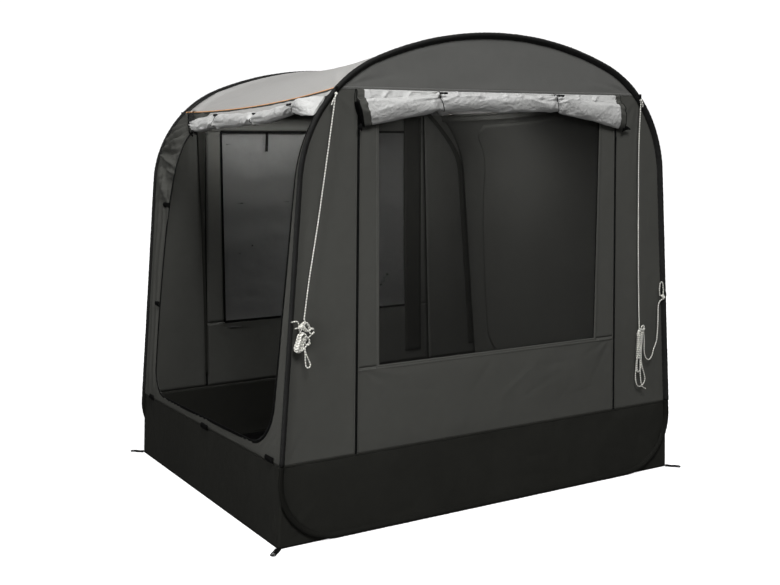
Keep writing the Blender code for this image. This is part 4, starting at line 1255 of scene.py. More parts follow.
def make_end_wall(prefix, side):
    """The panels, strips, mud wall and seams of one end, all in heights of the front face."""
    low = MUD_TOP_FRONT if side < 0 else rise(MUD_TOP_BACK)
    seed = 40 if side < 0 else 140
    step = 0.011 if side < 0 else 0.018
    x0, x1, z0, z1 = window_box(side)
    tape = 0.005
    for label, hand in HANDS:
        inner = lambda b, hand=hand: zip_x(hand, b) + hand * tape
        outer = lambda b, hand=hand: hand * half_width(b)
        left, right = (outer, inner) if hand < 0 else (inner, outer)
        downward = [math.radians(-90 - hand * t) for t in (4, 16, 30, 50)]
        upward = [math.radians(90 + hand * t) for t in (6, 20, 36)]
        folds = lambda a, b, hand=hand, downward=downward, upward=upward: (
            fan(a, b, (hand * 0.80, 1.80), downward, 0.42, 0.010, 0.0024)
            + fan(a, b, (hand * 1.03, low), upward, 0.35, 0.012, 0.0020)
        )
        end_panel(f"{prefix}_panel_{label}_cloth", side, left, right, low, SEAM_HEIGHT, seed + hand,
                  "wall_cloth", (f"{prefix}_panel_{label}",), step, folds)
    from_zip = lambda b: zip_x(LEFT, b) + tape
    to_zip = lambda b: zip_x(RIGHT, b) - tape
    lower_folds = lambda a, b: (
        fan(a, b, (-0.69, z0), [math.radians(t) for t in (-62, -45, -30, -14)], 0.34, 0.011, 0.0022)
        + fan(a, b, (0.68, z0), [math.radians(180 - t) for t in (-60, -42, -25)], 0.34, 0.011, 0.0022)
        + creases(a, b, (-0.2, 0.4, 0.5, 0.62), 8, 0.3, 0.010, 0.0016, seed + 33, lean=0.5)
    )
    for part, left, right, bottom, top, number, folds, depth in (
        ("lower_panel", from_zip, to_zip, low, z0, 3, lower_folds, 1.0),
        ("strip_left", from_zip, constant(x0), z0, z1, 4, None, 0.6),
        ("strip_right", constant(x1), to_zip, z0, z1, 5, None, 0.6),
        ("strip_top", from_zip, to_zip, z1, SEAM_HEIGHT, 6, None, 0.5),
    ):
        end_panel(f"{prefix}_{part}", side, left, right, bottom, top, seed + number, "wall_cloth",
                  (f"{prefix}_window_surround",), step, folds, depth)
    mud_low = 0.0 if side < 0 else rise(0.0)
    slope = half_width(low) - BASE_HALF_WIDTH
    mud_edge = lambda b: BASE_HALF_WIDTH + slope * (b - mud_low) / (low - mud_low)
    end_panel(f"{prefix}_mud_cloth", side, lambda b: -mud_edge(b), mud_edge, mud_low, low, seed + 7,
              "mud_cloth", (f"{prefix}_mud_wall",), step, lambda a, b: mud_relief(a, b, seed + 9))
    gable, mud, seam = GABLE_HALF - 0.004, half_width(low) - 0.010, sizes().seam
    for label, z, start, end, count, lift, width, finish in (
        ("gable", SEAM_HEIGHT, -gable, gable, 140, 0.0009, seam, "gable_seam"),
        ("mud", low, -mud, mud, 140, 0.0007, seam, "mud_seam"),
        ("window", z0 - 0.012, from_zip(z0) + 0.003, to_zip(z0) - 0.003, 100, 0.0007, 0.008, "wall_seam"),
    ):
        x = np.linspace(float(start), float(end), count)
        ribbon_piece(f"{prefix}_seam_{label}", end_point(x, z + 0 * x, side, lift), (0, 0, 1),
                     (0, side, 0), width, finish)
    make_binding(prefix, side, window_corners(side))


def window_corners(side):
    """The window's corners in order, with the first one again at the end."""
    x0, x1, z0, z1 = window_box(side)
    return np.array(((x0, z0), (x1, z0), (x1, z1), (x0, z1), (x0, z0)))


def mud_relief(a, b, seed):
    """Upright slack folds, ripples along the ground and a fan at each lower corner."""
    upright = 0.0016 * np.sin(2 * math.pi * a / 0.19 + 3 * swell(a / 0.5, b / 0.5, seed))
    total = upright * (0.6 + 0.4 * swell(a / 0.4, b / 0.2, seed + 1))
    ripple = 0.0011 * np.sin(2 * math.pi * b / 0.021 + 2.5 * swell(a / 0.16, b / 0.3, seed + 2))
    total += ripple * np.exp(-np.maximum(b, 0) / 0.04) * (0.5 + 0.5 * swell(a / 0.13, 0 * b, seed + 4))
    for hand in (LEFT, RIGHT):
        spread = [math.radians(90 + hand * t) for t in (4, 16, 30, 46, 64)]
        total += fan(a, b, (hand * 1.04, 0.02), spread, 0.30, 0.010, 0.0026)
    box = (-0.9, 0.03, 0.9, 0.3)
    return total + creases(a, b, box, 26, 0.2, 0.007, 0.0016, seed + 6)


def make_binding(prefix, side, corners):
    """The hem round a window net, with its stitching."""
    margin_in, margin_out = 0.004, 0.010
    grow = np.array(((-1, -1), (1, -1), (1, 1), (-1, 1), (-1, -1)))
    mix = np.linspace(0, 1, 61)[:-1, None]
    rows = []
    for share in (0.0, 0.25, 0.5, 0.75, 1.0):
        line = corners + grow * (-margin_in + (margin_in + margin_out) * share)
        points = [start * (1 - mix) + end * mix for start, end in zip(line, line[1:])]
        points = np.concatenate((*points, line[:1]))
        lift = 0.0005 + 0.0004 * math.sin(math.pi * share)
        rows.append(end_point(points[:, 0], points[:, 1], side, lift))
    taped_piece(f"{prefix}_window_hem", rows, (0, side, 0), 0.0009, "wall_seam")


def taped_piece(name, lines, outward, thickness, finish, nodes=()):
    """A stitched tape made of five lines side by side."""
    grid = np.stack(lines, 1)
    uv = uv_grid(run_of(grid[:, 2]), np.linspace(-0.007, 0.007, 5))
    finish_piece(thicken(build_object(name, [(grid, uv)], outward), thickness), finish, nodes)
    return grid


def make_end_walls():
    for prefix, side in ENDS:
        make_gable(prefix, side)
        make_end_wall(prefix, side)


def make_windows():
    for prefix, side in ENDS:
        x0, x1, z0, z1 = window_box(side)
        a, b, ea, eb = patch(constant(x0), constant(x1), z0, z1, 0.028)
        inside = ease(np.minimum(ea, eb), 0.0, 0.12)
        relief = -inside * 0.0035 * (1.2 + 0.6 * rough(a / 0.5, b / 0.6, 61 if side < 0 else 67)) - 0.0012
        cloth_piece(f"{prefix}_window_net", end_point(a, b, side), (a, b), relief, (0, side, 0),
                    "window_net", (f"{prefix}_window_mesh",), thickness=0.0006)


def cover_relief(a, b, ea, eb):
    total = wall_relief(a, b, ea, eb, 171) + 0.0055 * ease(np.minimum(ea, eb), 0, 0.06)
    crumpled = creases(a, b, (0.24, 0.56, 0.44, 0.95), 12, 0.28, 0.034, 0.0050, 175, lean=0.8)
    return total + (crumpled + 0.004 * rough(a / 0.22, b / 0.10, 177)) * ease(np.minimum(ea, eb), 0, 0.03)


def make_back_cover():
    """The closed cover that hangs over the outside of the back window, and its lining."""
    low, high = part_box("back_cover")
    for part, margin, step, lift in (("cloth", 0, 0.012, 0.0033), ("lining", 0.01, 0.02, 0.0017)):
        left, right = constant(low.x + margin), constant(high.x - margin)
        a, b, ea, eb = patch(left, right, rise(low.z + margin), rise(high.z - margin), step)
        relief = cover_relief(a, b, ea, eb)
        grid = end_point(a, b, 1, lift)
        if part == "cloth":
            cloth_piece("back_cover_cloth", grid, (a, b), relief, (0, 1, 0), "wall_cloth",
                        ("back_cover",))
        else:
            grid[..., 1] += relief
            cloth_piece("back_cover_lining", grid, (a, b), 0 * a, (0, -1, 0),
                        "lining_cloth", thickness=0.0006)


def make_inner_trim():
    """The flaps inside the back zips and beside the hoop, and the nets' inner bindings."""
    for label, places in (
        ("left", ((0.36, -0.716, -0.704), (1.21, -0.722, -0.704), (1.75, -0.737, -0.684))),
        ("right", ((0.40, 0.54, 0.648), (1.0, 0.527, 0.644), (1.75, 0.527, 0.642))),
    ):
        z = np.linspace(0.37, 1.735, 60)
        heights, near, far = zip(*places)
        share = np.linspace(0, 1, 7)[None, :]
        x = np.interp(z, heights, near)[:, None] * (1 - share) + np.interp(z, heights, far)[:, None] * share
        height = np.broadcast_to(z[:, None], x.shape)
        y = FACE - 0.0080 - 0.0016 * rough(height / 0.09, x / 0.05, 181) * np.sin(math.pi * share)
        cloth_piece(f"zip_flap_{label}", np.stack((x, y, height), -1), (x, height), 0 * x, (0, -1, 0),
                    "mud_cloth", strip=True)
    z = np.linspace(0.37, 1.80, 70)
    inset = 0.030 + 0.055 * ease(z, 1.45, 1.75)
    path = np.stack((half_width(rise(z)) - inset, FACE - 0.0075 + 0 * z, z), 1)
    ribbon_piece("back_hoop_flap", path, (1, 0, 0), (0, -1, 0), 0.036, "mud_cloth")
    mix = np.linspace(0, 1, 40)[:, None]
    for prefix, side in ENDS:
        corners = window_corners(side)
        for k, (start, end) in enumerate(zip(corners, corners[1:])):
            x, z = (start * (1 - mix) + end * mix).T
            across = (0, 0, 1) if k % 2 == 0 else (1, 0, 0)
            ribbon_piece(f"{prefix}_net_tape_{k + 1}", end_point(x, z, side, -0.0042), across, (0, -side, 0),
                         0.012, "zip_tape", crown=0.0003)


# Side walls


def ring_grid(steps, hand):
    """A grid round the door, from its edge out to the wall's border, in (y, level)."""
    counts = (120, 104, 190, 60) if hand < 0 else (120, 104, 120, 60)
    reach = SIDE_REACH
    corners = np.array(((-reach, 1.0), (-reach, 0.0), (reach, 0.0), (reach, 1.0), (-reach, 1.0)))
    inner, outer = [], []
    for points, start, end, count in zip(door_sides(0.0), corners, corners[1:], counts):
        line = resample(points, count + 1)[:-1]
        inner.append(np.stack((line[:, 0], wall_level(line[:, 0], line[:, 1])), 1))
        mix = np.linspace(0, 1, count + 1)[:-1, None]
        outer.append(start * (1 - mix) + end * mix)
    inner = np.concatenate((*inner, inner[0][:1]))
    outer = np.concatenate((*outer, outer[0][:1]))
    mix = np.linspace(0, 1, steps + 1)[None, :, None]
    return inner[:, None] * (1 - mix) + outer[:, None] * mix


def side_relief(y, z, share, hand, seed):
    """Folds of a side wall; share runs from the door's edge, 0, to the wall's border, 1."""
    inside = ease(np.minimum(share, 1 - share), 0.0, 0.25)
    total = inside * (0.0028 * rough(y / 0.22, z / 0.4, seed) + 0.0010 * rough(y / 0.07, z / 0.15, seed + 2))
    near_door = puckers(share * 0.1, y + z, 0.04, 0.0012, 0.05, seed + 5) * ease(share, 0, 0.1)
    near_edge = puckers((1 - share) * 0.12, z + y, 0.036, 0.0013, 0.04, seed + 7) * ease(1 - share, 0, 0.08)
    total = total + near_door + near_edge
    if hand < 0:
        rear = ease(np.minimum(share, 1 - share), 0.0, 0.12) * ease(y, 0.3, 0.5)
        upper = ease(z, 1.15, 1.35) * rear
        crumple = 0.0070 * rough(y / 0.034, z / 0.034, seed + 9)
        near = 0.3 + 0.7 * (1 - ease(share, 0.25, 0.75))
        crumple -= 0.0090 * near * np.abs(swell(y / 0.020, z / 0.024, seed + 10))
        for y0, z0, y1, z1, width, depth in STRIP_FOLDS:
            crumple += fold(y, z, (y0, z0), (y1, z1), 0.72 * width, 1.8 * depth)
        total += upper * crumple
        total += upper * ease(share, 0, 0.1) * puckers(share * 0.16, z, 0.017, 0.0030, 0.05, seed + 21)
        lower = ease(z, 0.3, 0.5) * (1 - ease(z, 1.30, 1.42)) * rear
        total += lower * 0.007 * np.sin(2 * math.pi * y / 0.060 + 2 * swell(y / 0.2, z / 0.3, seed + 14))
    return total


def make_side(prefix, hand):
    """A side wall round its door, the mud wall below it and the seam between them."""
    steps = 28 if hand < 0 else 16
    y, level = np.moveaxis(ring_grid(steps, hand), -1, 0)
    share = np.broadcast_to(np.linspace(0, 1, steps + 1)[None, :], y.shape)
    z = wall_base(y) + level * (wall_head(y) - wall_base(y))
    relief = side_relief(y, z, share, hand, 200 + 30 * hand)
    cloth_piece(f"{prefix}_wall_cloth", wall_point(y, level, hand), (y, z), relief, (hand, 0, 0.2),
                "wall_cloth", (f"{prefix}_wall",), strip=True)
    rows, columns = 30, 120
    places = np.linspace(-SIDE_REACH, SIDE_REACH, columns + 1)
    level, y = np.meshgrid(np.linspace(0, 1, rows + 1), places, indexing="ij")
    z = level * wall_base(y)
    inside = ease(np.minimum(level, 1 - level), 0, 0.12) * ease(HOOP_Y - np.abs(y), 0.01, 0.04)
    relief = inside * mud_relief(y * (BASE_HALF_WIDTH / HOOP_Y), z, 260 + hand)
    cloth_piece(f"{prefix}_mud_cloth", mud_point(y, level, hand), (y, z), relief, (hand, 0, 0),
                "mud_cloth", (f"{prefix}_mud_wall",))
    places = np.linspace(-SIDE_REACH + 0.006, SIDE_REACH - 0.006, 110)
    path = wall_point(places, 0 * places, hand, 0.0008)
    ribbon_piece(f"{prefix}_seam_mud", path, (0, 0, 1), (hand, 0, 0), sizes().seam, "mud_seam")


def closed_door(prefix, hand):
    """The closed door of the far side, as rings that shrink to its middle."""
    line = [resample(points, count + 1)[:-1] for points, count in zip(door_sides(0.008), (90, 80, 90, 60))]
    line = np.concatenate((*line, line[0][:1]))
    centre = np.array((-0.04, 1.05))
    inward = np.linspace(1, 0.02, 40)[None, :, None]
    y, z = np.moveaxis(centre + (line[:, None] - centre) * inward, -1, 0)
    grid = wall_point(y, wall_level(y, z), hand, -0.0006)
    edge = np.broadcast_to((1 - inward[..., 0]) * 0.5, y.shape)
    broad = 0.004 * rough(y / 0.4, z / 0.5, 301) + 0.0012 * rough(y / 0.1, z / 0.17, 305)
    scattered = creases(y, z, (-0.7, 0.4, 0.6, 1.7), 30, 0.30, 0.010, 0.0034, 309)
    relief = ease(edge, 0, 0.05) * (broad + scattered)
    relief += puckers(edge, y + z, 0.045, 0.0012, 0.03, 311) * ease(edge, 0, 0.01)
    normal = normals_of(grid)
    if normal[..., 0].sum() * hand < 0:
        normal = -normal
    raised = grid + normal * relief[..., None]
    obj = build_object(f"{prefix}_door_cloth", [(raised, np.stack((y, z), -1))], outward=(hand, 0, 0.2))
    builder = bmesh.new()
    builder.from_mesh(obj.data)
    gaps = [edge for edge in builder.edges if edge.is_boundary and edge.calc_length() < 0.002]
    bmesh.ops.holes_fill(builder, edges=gaps)
    builder.to_mesh(obj.data)
    builder.free()
    thicken(obj, sizes().cloth)
    finish_piece(obj, "wall_cloth", (f"{prefix}_door",))


def make_sides():
    for prefix, hand in HANDS:
        make_side(prefix, hand)
    closed_door("right", RIGHT)


# Roof, piping and floor


def make_roof():
    rows, columns = 118, 96
    s = np.linspace(-ROOF_HALF, ROOF_HALF, rows + 1)
    places = np.linspace(-SIDE_REACH, SIDE_REACH, columns + 1)
    s, y = np.meshgrid(s, places, indexing="ij")
    from_hoop = HOOP_Y - np.abs(y)
    from_seam = ROOF_HALF - np.abs(s)
    back = HOOP_Y - y
    inside = ease(np.minimum(from_hoop, from_seam), 0.004, 0.12)
    relief = inside * (0.006 * rough(s / 0.5, y / 0.6, 401) + 0.0014 * rough(s / 0.16, y / 0.2, 404))
    relief += 0.015 * np.exp(-(((back - 0.11) / 0.032) ** 2)) * (0.75 + 0.25 * swell(s / 0.3, 0 * s, 407))
    relief -= 0.006 * np.exp(-(((back - 0.05) / 0.028) ** 2))
    relief += puckers(from_hoop, s, 0.05, 0.0018, 0.06, 411) * ease(from_hoop, 0.012, 0.03)
    relief += puckers(from_seam, y, 0.06, 0.0018, 0.05, 413) * ease(from_seam, 0.0, 0.02)
    for hand in (LEFT, RIGHT):
        for end in (-1, 1):
            corner = (hand * (ROOF_HALF - 0.01), end * (HOOP_Y - 0.02))
            spread = [math.atan2(-end, -hand) + t for t in (-0.5, -0.25, 0.0, 0.25, 0.5)]
            relief += fan(s, y, corner, spread, 0.45, 0.02, 0.004) * ease(from_hoop, 0.01, 0.04)
    cloth_piece("roof_cloth", roof_point(y, s), (s, y), relief, (0, 0, 1), "roof_cloth",
                ("roof",))
    s = np.linspace(-ROOF_HALF + 0.01, ROOF_HALF - 0.01, 140)
    for (label, side), width in zip(ENDS, (0.010, 0.014)):
        path = roof_point(side * (SIDE_REACH - 0.004 - width / 2) + 0 * s, s, 0.0012)
        place = side * (SIDE_REACH - 0.02) + 0 * s
        out = unit(roof_point(place, s, 0.01) - roof_point(place, s))
        ribbon_piece(f"roof_binding_{label}", path, (0, 1, 0), out, width, "sleeve_cloth")
    y = np.linspace(-SIDE_REACH + 0.004, SIDE_REACH - 0.004, 150)
    for label, hand in HANDS:
        edge = lambda level, lift: wall_point(y, level + 0 * y, hand, lift)
        tube_piece(f"piping_{label}", edge(1.0, 0.0025), sizes().piping, 10, "roof_cloth", "orange_piping")
        # Partly painted shadow: this dark wall-cloth strip under the piping is the seam, and it also stands
        # in for the piping's shadow.
        ribbon_piece(f"roof_seam_{label}", edge(0.9950, 0.0038), (0, 0, 1), (hand, 0, 1), 0.007,
                     "wall_cloth")
        if hand > 0:
            tube_piece(f"roof_seam_{label}_core", edge(1.0, -0.0035), 0.0065, 8, "roof_cloth", "wall_cloth")
            ribbon_piece(f"roof_seam_{label}_lining", edge(0.992, -0.0060), (0, 0, 1), (-hand, 0, -1),
                         0.040, "wall_cloth")
    # Painted shade: the silver lining strip above the rolled door gets the darker roof cloth, which stands
    # in for the shade under the piping.
    y = np.linspace(-SIDE_REACH + 0.006, 0.485, 118)
    share, y = np.meshgrid(np.linspace(0, 1, 10), y, indexing="ij")
    low = between(DOOR_ROLL_UPPER_EDGE, np.minimum(y, 0.48)) - 0.012
    level = wall_level(y, low) * (1 - share) + 0.994 * share
    lift = 0.0022 + 0.008 * (1 - share) * ease(0.45 - y, 0, 0.1) + 0.0012 * swell(y / 0.045, share * 2, 431)
    cloth_piece("door_head_lining_shaded", wall_point(y, level, LEFT, lift), (y, level * 1.5), 0 * y,
                (-1, 0, 0.5), "roof_cloth", thickness=0.0007, strip=True)


def make_ground():
    low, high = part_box("groundsheet")
    a, b, ea, eb = patch(constant(low.x), constant(high.x), low.y, high.y, 0.024)
    edge = np.minimum(ea, eb)
    relief = 0.0011 * rough(a / 0.3, b / 0.3, 451) * ease(edge, 0, 0.05)
    relief += creases(a, b, (-0.9, -0.7, 0.9, 0.7), 40, 0.4, 0.014, 0.0018, 455) * ease(edge, 0, 0.03)
    relief = np.clip(relief, -0.0012, 0.004) + 0.012 * (1 - ease(edge, 0.0, 0.045))
    cloth_piece("groundsheet_cloth", np.stack((a, b, high.z + 0 * a), -1), (a, b), relief, (0, 0, 1),
                "ground_cloth", ("groundsheet",), thickness=0.0015)


# Rolled covers


def pinch_at(place, ties, width):
    total = 0 * place
    for tie in ties:
        total = np.maximum(total, np.exp(-(((place - tie) / width) ** 2)))
    return total


def roll_relief(along, around, ties, seed):
    """Creases and gathers of loosely rolled coated cloth; both places are in metres."""
    total = 0.0034 * rough(along / 0.13, around / 0.045, seed)
    sharp = 0.0038 * np.abs(swell(along / 0.055, around / 0.030, seed + 3))
    total -= sharp * swell(along / 0.2, 0 * along, seed)
    for k, tie in enumerate(ties):
        near = np.exp(-np.abs(along - tie) / 0.034)
        total += 0.0060 * near * swell(along / 0.015, around / 0.020, seed + 7 + k)
        for spoke in range(14):
            side = 1 if spoke % 2 else -1
            start = (tie + side * 0.003, 0.030 + 0.013 * spoke)
            end = (tie + side * (0.17 - 0.08 * (spoke % 3)), start[1] + 0.045 * math.cos(1.7 * spoke))
            depth = 0.0052 if spoke % 3 else -0.0044
            total += fold(along, around, start, end, 0.0075 if spoke % 4 == 0 else 0.0052, depth)
    draw = np.random.default_rng(seed)
    low, high = float(along.min()), float(along.max())
    for _ in range(26):
        start = (draw.uniform(low, high), draw.uniform(0.05, 0.26))
        lean = draw.normal(0.0, 0.5)
        reach = draw.uniform(0.05, 0.16) * (1 if draw.uniform() > 0.5 else -1)
        end = (start[0] + reach, start[1] + abs(reach) * math.tan(lean) * 0.6)
        total += fold(along, around, start, end, 0.006, draw.uniform(-0.0042, 0.0042))
    return total


def roll_surface(grid, out, relief):
    """Raises a roll's surface along its normals where it stands clear of the wall."""
    normal = normals_of(grid)
    facing = normal @ np.asarray(out, float)
    if facing[:, grid.shape[1] // 3].sum() < 0:
        normal = -normal
    raised = grid + normal * relief[..., None]
    raised[:, -1] = raised[:, 0]
    return raised


def cap_ends(grid, spiral):
    """The roll's grid, carried over each end by the spiral edge of its layers."""
    turn = np.linspace(0, 1, grid.shape[1])
    ends = []
    for row, beyond in ((0, 1), (-1, -2)):
        ring = grid[row]
        centre = ring[:-1].mean(0)
        inward = unit(grid[beyond][:-1].mean(0) - centre)
        rings = []
        for share in np.linspace(0.95, 0.04, 14):
            layer = (share * 4 + turn) % 1.0
            depth = 0.003 * (1 - share) + spiral * layer * min(1.0, 4 * (1 - share))
            points = centre + (ring - centre) * share + inward * depth[:, None]
            points[-1] = points[0]
            rings.append(points)
        ends.append(rings)
    full = np.concatenate((np.array(ends[0][::-1]), grid, np.array(ends[1])))
    along = run_of(full[:, 0])
    pieces = [(full, uv_grid(along, turn * 0.2))]
    for ring, place in ((full[0], along[0]), (full[-1], along[-1])):
        centre = ring[:-1].mean(0)
        tip = np.stack((ring, np.broadcast_to(centre, ring.shape)), 0)
        spread = np.broadcast_to(turn * 0.2, (2, len(ring)))
        pieces.append((tip, np.stack((np.full((2, len(ring)), place), spread), -1)))
    return pieces


def cover_grid(start, end, rows):
    """The rolled cover's surface between two end lines, each given by share of the roll's height."""
    section = curve_through(COVER_END_SECTION, 5, closed=True)
    middle_section = curve_through(COVER_MIDDLE_SECTION, 5, closed=True)
    mix = np.linspace(0, 1, rows + 1)[:, None]
    lines = [np.interp(section[:, 1], np.linspace(0, 1, len(places)), places) for places in (start, end)]
    x = lines[0][None, :] * (1 - mix) + lines[1][None, :] * mix
    flare = ease(np.abs(x), 0.34, 0.52)
    depth = section[None, :, 0] * flare + middle_section[None, :, 0] * (1 - flare)
    height = section[None, :, 1] * flare + middle_section[None, :, 1] * (1 - flare)
    low = between(COVER_LOWER_EDGE, x)
    pinch = pinch_at(x, FRONT_TIES, 0.020)
    depth = depth * (1 - 0.30 * pinch)
    height = height + (1 - height) * 0.08 * pinch
    z = low + (COVER_TOP - 0.001 - low) * height
    around = np.broadcast_to(np.arange(len(section)) * 0.0042, x.shape)
    relief = roll_relief(x, around, FRONT_TIES, 501)
    upper = ease(height, 0.70, 0.78) * (1 - ease(height, 0.96, 1.0))
    for k in range(13):
        place = -0.66 + 0.11 * k
        tilt = 0.075 * (1 if k % 3 else -0.4)
        relief += upper * fold(x, z, (place, 1.815), (place - tilt, 1.745), 0.008, 0.0065)
    grid = np.stack((x, -(FACE + 0.0006 + depth), z), -1)
    return roll_surface(grid, (0, -1, 0), relief * ease(depth, 0.004, 0.013))


def make_cover_roll():
    left, right = np.array(COVER_SILVER_LEFT), np.array(COVER_SILVER_RIGHT)
    silver = cover_grid(left, right, 330)
    obj = build_object("cover_roll", cap_ends(silver, 0.003))
    finish_piece(obj, "silver_cloth", ("front_cover_roll",))
    for (label, hand), near, reach in zip(HANDS, (left, right), (-0.034, 0.030)):
        band = cover_grid(near - math.copysign(0.002, reach), near + reach, 14)
        obj = build_object(f"cover_band_{label}", cap_ends(grown(band, -0.0004), 0.002))
        finish_piece(obj, "wall_cloth")
        ring = resample(grown(band, 0.0006)[-1], 91)
        capped_piece(f"cover_edge_{label}", *tube_grid(ring, 0.0013, 8), "zip", "zip_tape")
        make_roll_end_shade(label, ring, hand)
    make_cover_tips()
    make_ties("front", silver, silver[:, 0, 0], FRONT_TIES)


def make_roll_end_shade(label, ring, hand):
    """Painted shade: a black piece in the zip tape's finish over the end of the rolled layers, below the
    flap that they hang from, stands in for the shadow inside the roll's open end.
    """
    low, high = ring[:, 2].min(), ring[:, 2].max()
    part = ring[ring[:, 2] < low + 0.70 * (high - low)]
    start = int(np.argmax(np.linalg.norm(np.diff(part, axis=0), axis=1))) + 1
    loop = np.roll(part, -start, 0)
    loop = resample(np.concatenate((loop, loop[:1])), 45)
    centre = loop[:-1].mean(0)
    rows = []
    for share, reach in (
        (0.50, -0.002), (0.96, -0.001), (0.97, 0.002), (0.84, 0.004),
        (0.66, 0.001), (0.50, 0.003), (0.30, 0.0005), (0.05, 0.002),
    ):
        row = centre + (loop - centre) * share + np.array((hand * reach, 0, 0))
        row[:, 1] = np.minimum(row[:, 1], -(FACE + 0.0004))
        rows.append(row)
    uv = uv_grid(np.arange(len(rows)) * 0.006, np.linspace(0, 0.2, len(loop)))
    capped_piece(f"cover_end_shade_{label}", np.array(rows), uv, "zip", "zip_tape")


def grown(grid, distance):
    """A roll's rings moved outwards from their middle, clear of the wall."""
    centre = grid[:, :-1].mean(1, keepdims=True)
    spread = grid - centre
    wider = centre + spread * (1 + distance / np.linalg.norm(spread, axis=-1, keepdims=True))
    wider[..., 1] = np.minimum(wider[..., 1], -(FACE + 0.0004))
    return wider


def make_cover_tips():
    """The loose zip ends that stick out under both ends of the rolled cover."""
    for label, start, end in (("left", -0.688, -0.706), ("right", 0.690, 0.742)):
        x = np.linspace(start, end, 14)
        share = (x - start) / (end - start)
        z = 1.662 + 0.004 * np.sin(3 * share) - 0.003 * share
        path = np.stack((x, -(FACE + 0.024) + 0.004 * share, z), 1)
        width = 0.030 * (1 - 0.85 * share) + 0.002
        grid, uv = ribbon_grid(path, (0, 0, 1), (0, -1, 0), 1.0, 0.0)
        grid = path[:, None] + (grid - path[:, None]) * width[:, None, None]
        grid[..., 1] -= 0.004 * np.sin(np.linspace(0, math.pi, 5))[None, :]
        tip = thicken(build_object(f"cover_tip_{label}", [(grid, uv)], outward=(0, -1, 0)), 0.0024)
        finish_piece(tip, "zip_tape")


def make_ties(prefix, grid, places, ties):
    """The cord that each toggle pulls round a roll, lying in its pinch."""
    labels = ("left", "right") if prefix == "front" else ("front", "middle", "back")
    for tie, label in zip(ties, labels):
        ring = grid[int(np.argmin(np.abs(places - tie)))]
        spread = ring - ring[:-1].mean(0)
        loop = ring[:-1].mean(0) + spread * (1 + 0.0006 / np.linalg.norm(spread, axis=1)[:, None])
        loop = resample(loop, 49)
        if prefix == "front":
            loop[:, 1] = np.minimum(loop[:, 1], -(FACE + 0.002))
        capped_piece(f"{prefix}_tie_{label}", *tube_grid(loop, 0.0016, 8), "toggle", "black_webbing")


def door_roll_frame(places):
    """Middle line of the rolled door with its outward and upward directions and half height."""
    low = between(DOOR_ROLL_LOWER_EDGE, places)
    high = between(DOOR_ROLL_UPPER_EDGE, places)
    level = wall_level(places, (low + high) / 2)
    away = 0.026 * ease(places, -0.80, -0.64) + 0.003
    middle = wall_point(places, level, LEFT, away)
    lean = wall_turn(level)
    outward = np.stack((-np.cos(lean), 0 * lean, np.sin(lean)), 1)
    upward = np.stack((np.sin(lean), 0 * lean, np.cos(lean)), 1)
    return middle, outward, upward, (high - low) / 2, away


def door_roll_grid():
    """The rolled door's places along Y and its surface there."""
    rows, around = 300, 64
    places = np.linspace(-0.772, 0.497, rows + 1)
    middle, outward, upward, half, away = door_roll_frame(places)
    turn = np.linspace(0, 2 * math.pi, around + 1)[None, :] + math.pi
    pinch = pinch_at(places, DOOR_TIES, 0.020)[:, None]
    deep = (away[:, None] - 0.001) * (0.96 - 0.30 * pinch)
    tall = half[:, None] * (1.04 - 0.25 * pinch)
    middle = middle - upward * (0.004 * pinch)
    cinch = ease(places, 0.40, 0.50)[:, None]
    deep = deep * np.sqrt(1 - 0.55 * cinch)
    tall = tall * np.sqrt(1 - 0.55 * cinch)
    along = np.broadcast_to(places[:, None], (rows + 1, around + 1))
    relief = roll_relief(along, turn * 0.034 + 0 * along, DOOR_TIES, 541)
    relief = 1.35 * relief * ease(places, -0.775, -0.70)[:, None] + cinch * 0.004 * np.sin(9 * turn)
    out, up = np.cos(turn), np.sin(turn)
    drape = 0.10 * tall * (1 - np.abs(up)) * np.maximum(out, 0)
    grid = middle[:, None] + outward[:, None] * (deep * out)[..., None]
    grid = grid + upward[:, None] * (tall * up - drape)[..., None]
    return places, roll_surface(grid, (-0.7, 0, 0.7), relief * ease(out, -0.75, 0.1))


def make_door_roll():
    places, grid = door_roll_grid()
    obj = build_object("door_roll", cap_ends(grid, 0.003))
    finish_piece(obj, "silver_cloth", ("left_door_roll",))
    make_ties("door", grid, places, DOOR_TIES)
    make_cinch()


def make_cinch():
    """The bunched cloth behind the rolled door and the black strap that holds it."""
    ends = ((0.700, 1.742), (0.660, 1.727), (0.622, 1.711), (0.567, 1.688), (0.505, 1.663), (0.448, 1.644))
    line = curve_through([(0.0, *end) for end in ends], 10)
    y, z = line[:, 1], line[:, 2]
    centre = wall_point(y, wall_level(y, z), LEFT, 0.011)
    across, up = frames_along(centre)
    turn = np.linspace(0, 2 * math.pi, 49)
    share = np.linspace(0, 1, len(y))[:, None]
    wide = np.interp(share, (0, 0.12, 0.5, 0.8, 1.0), (0.007, 0.014, 0.015, 0.014, 0.008))
    wide = wide * (1 + 0.35 * rough(share * 8, np.sin(turn) * 2.4 + 0.7 * np.cos(turn), 571))
    ring = across[:, None] * np.cos(turn)[None, :, None] + up[:, None] * np.sin(turn)[None, :, None]
    grid = centre[:, None] + ring * wide[..., None]
    grid[:, -1] = grid[:, 0]
    grid[..., 0] = np.minimum(grid[..., 0], centre[:, None, 0] + 0.009)
    grid[..., 2] = np.minimum(grid[..., 2], wall_head(grid[..., 1]) - 0.005)
    obj = build_object("door_cinch", cap_ends(grid, 0.0))
    finish_piece(obj, "sleeve_cloth")
    y = np.linspace(0.640, 0.470, 30)
    z = np.interp(y, (0.470, 0.560, 0.640), (1.628, 1.650, 1.742))
    front = np.interp(y, line[::-1, 1], grid[::-1, :-1, 0].min(1))
    path = smooth_line(np.stack((front - 0.0025, y, z), 1), 0.008)
    ribbon_piece("door_cinch_strap", path, (0, 0.5, -0.5), (-1, 0, 0.2), 0.016,
                 "black_webbing", thickness=0.0014)


# Toggles


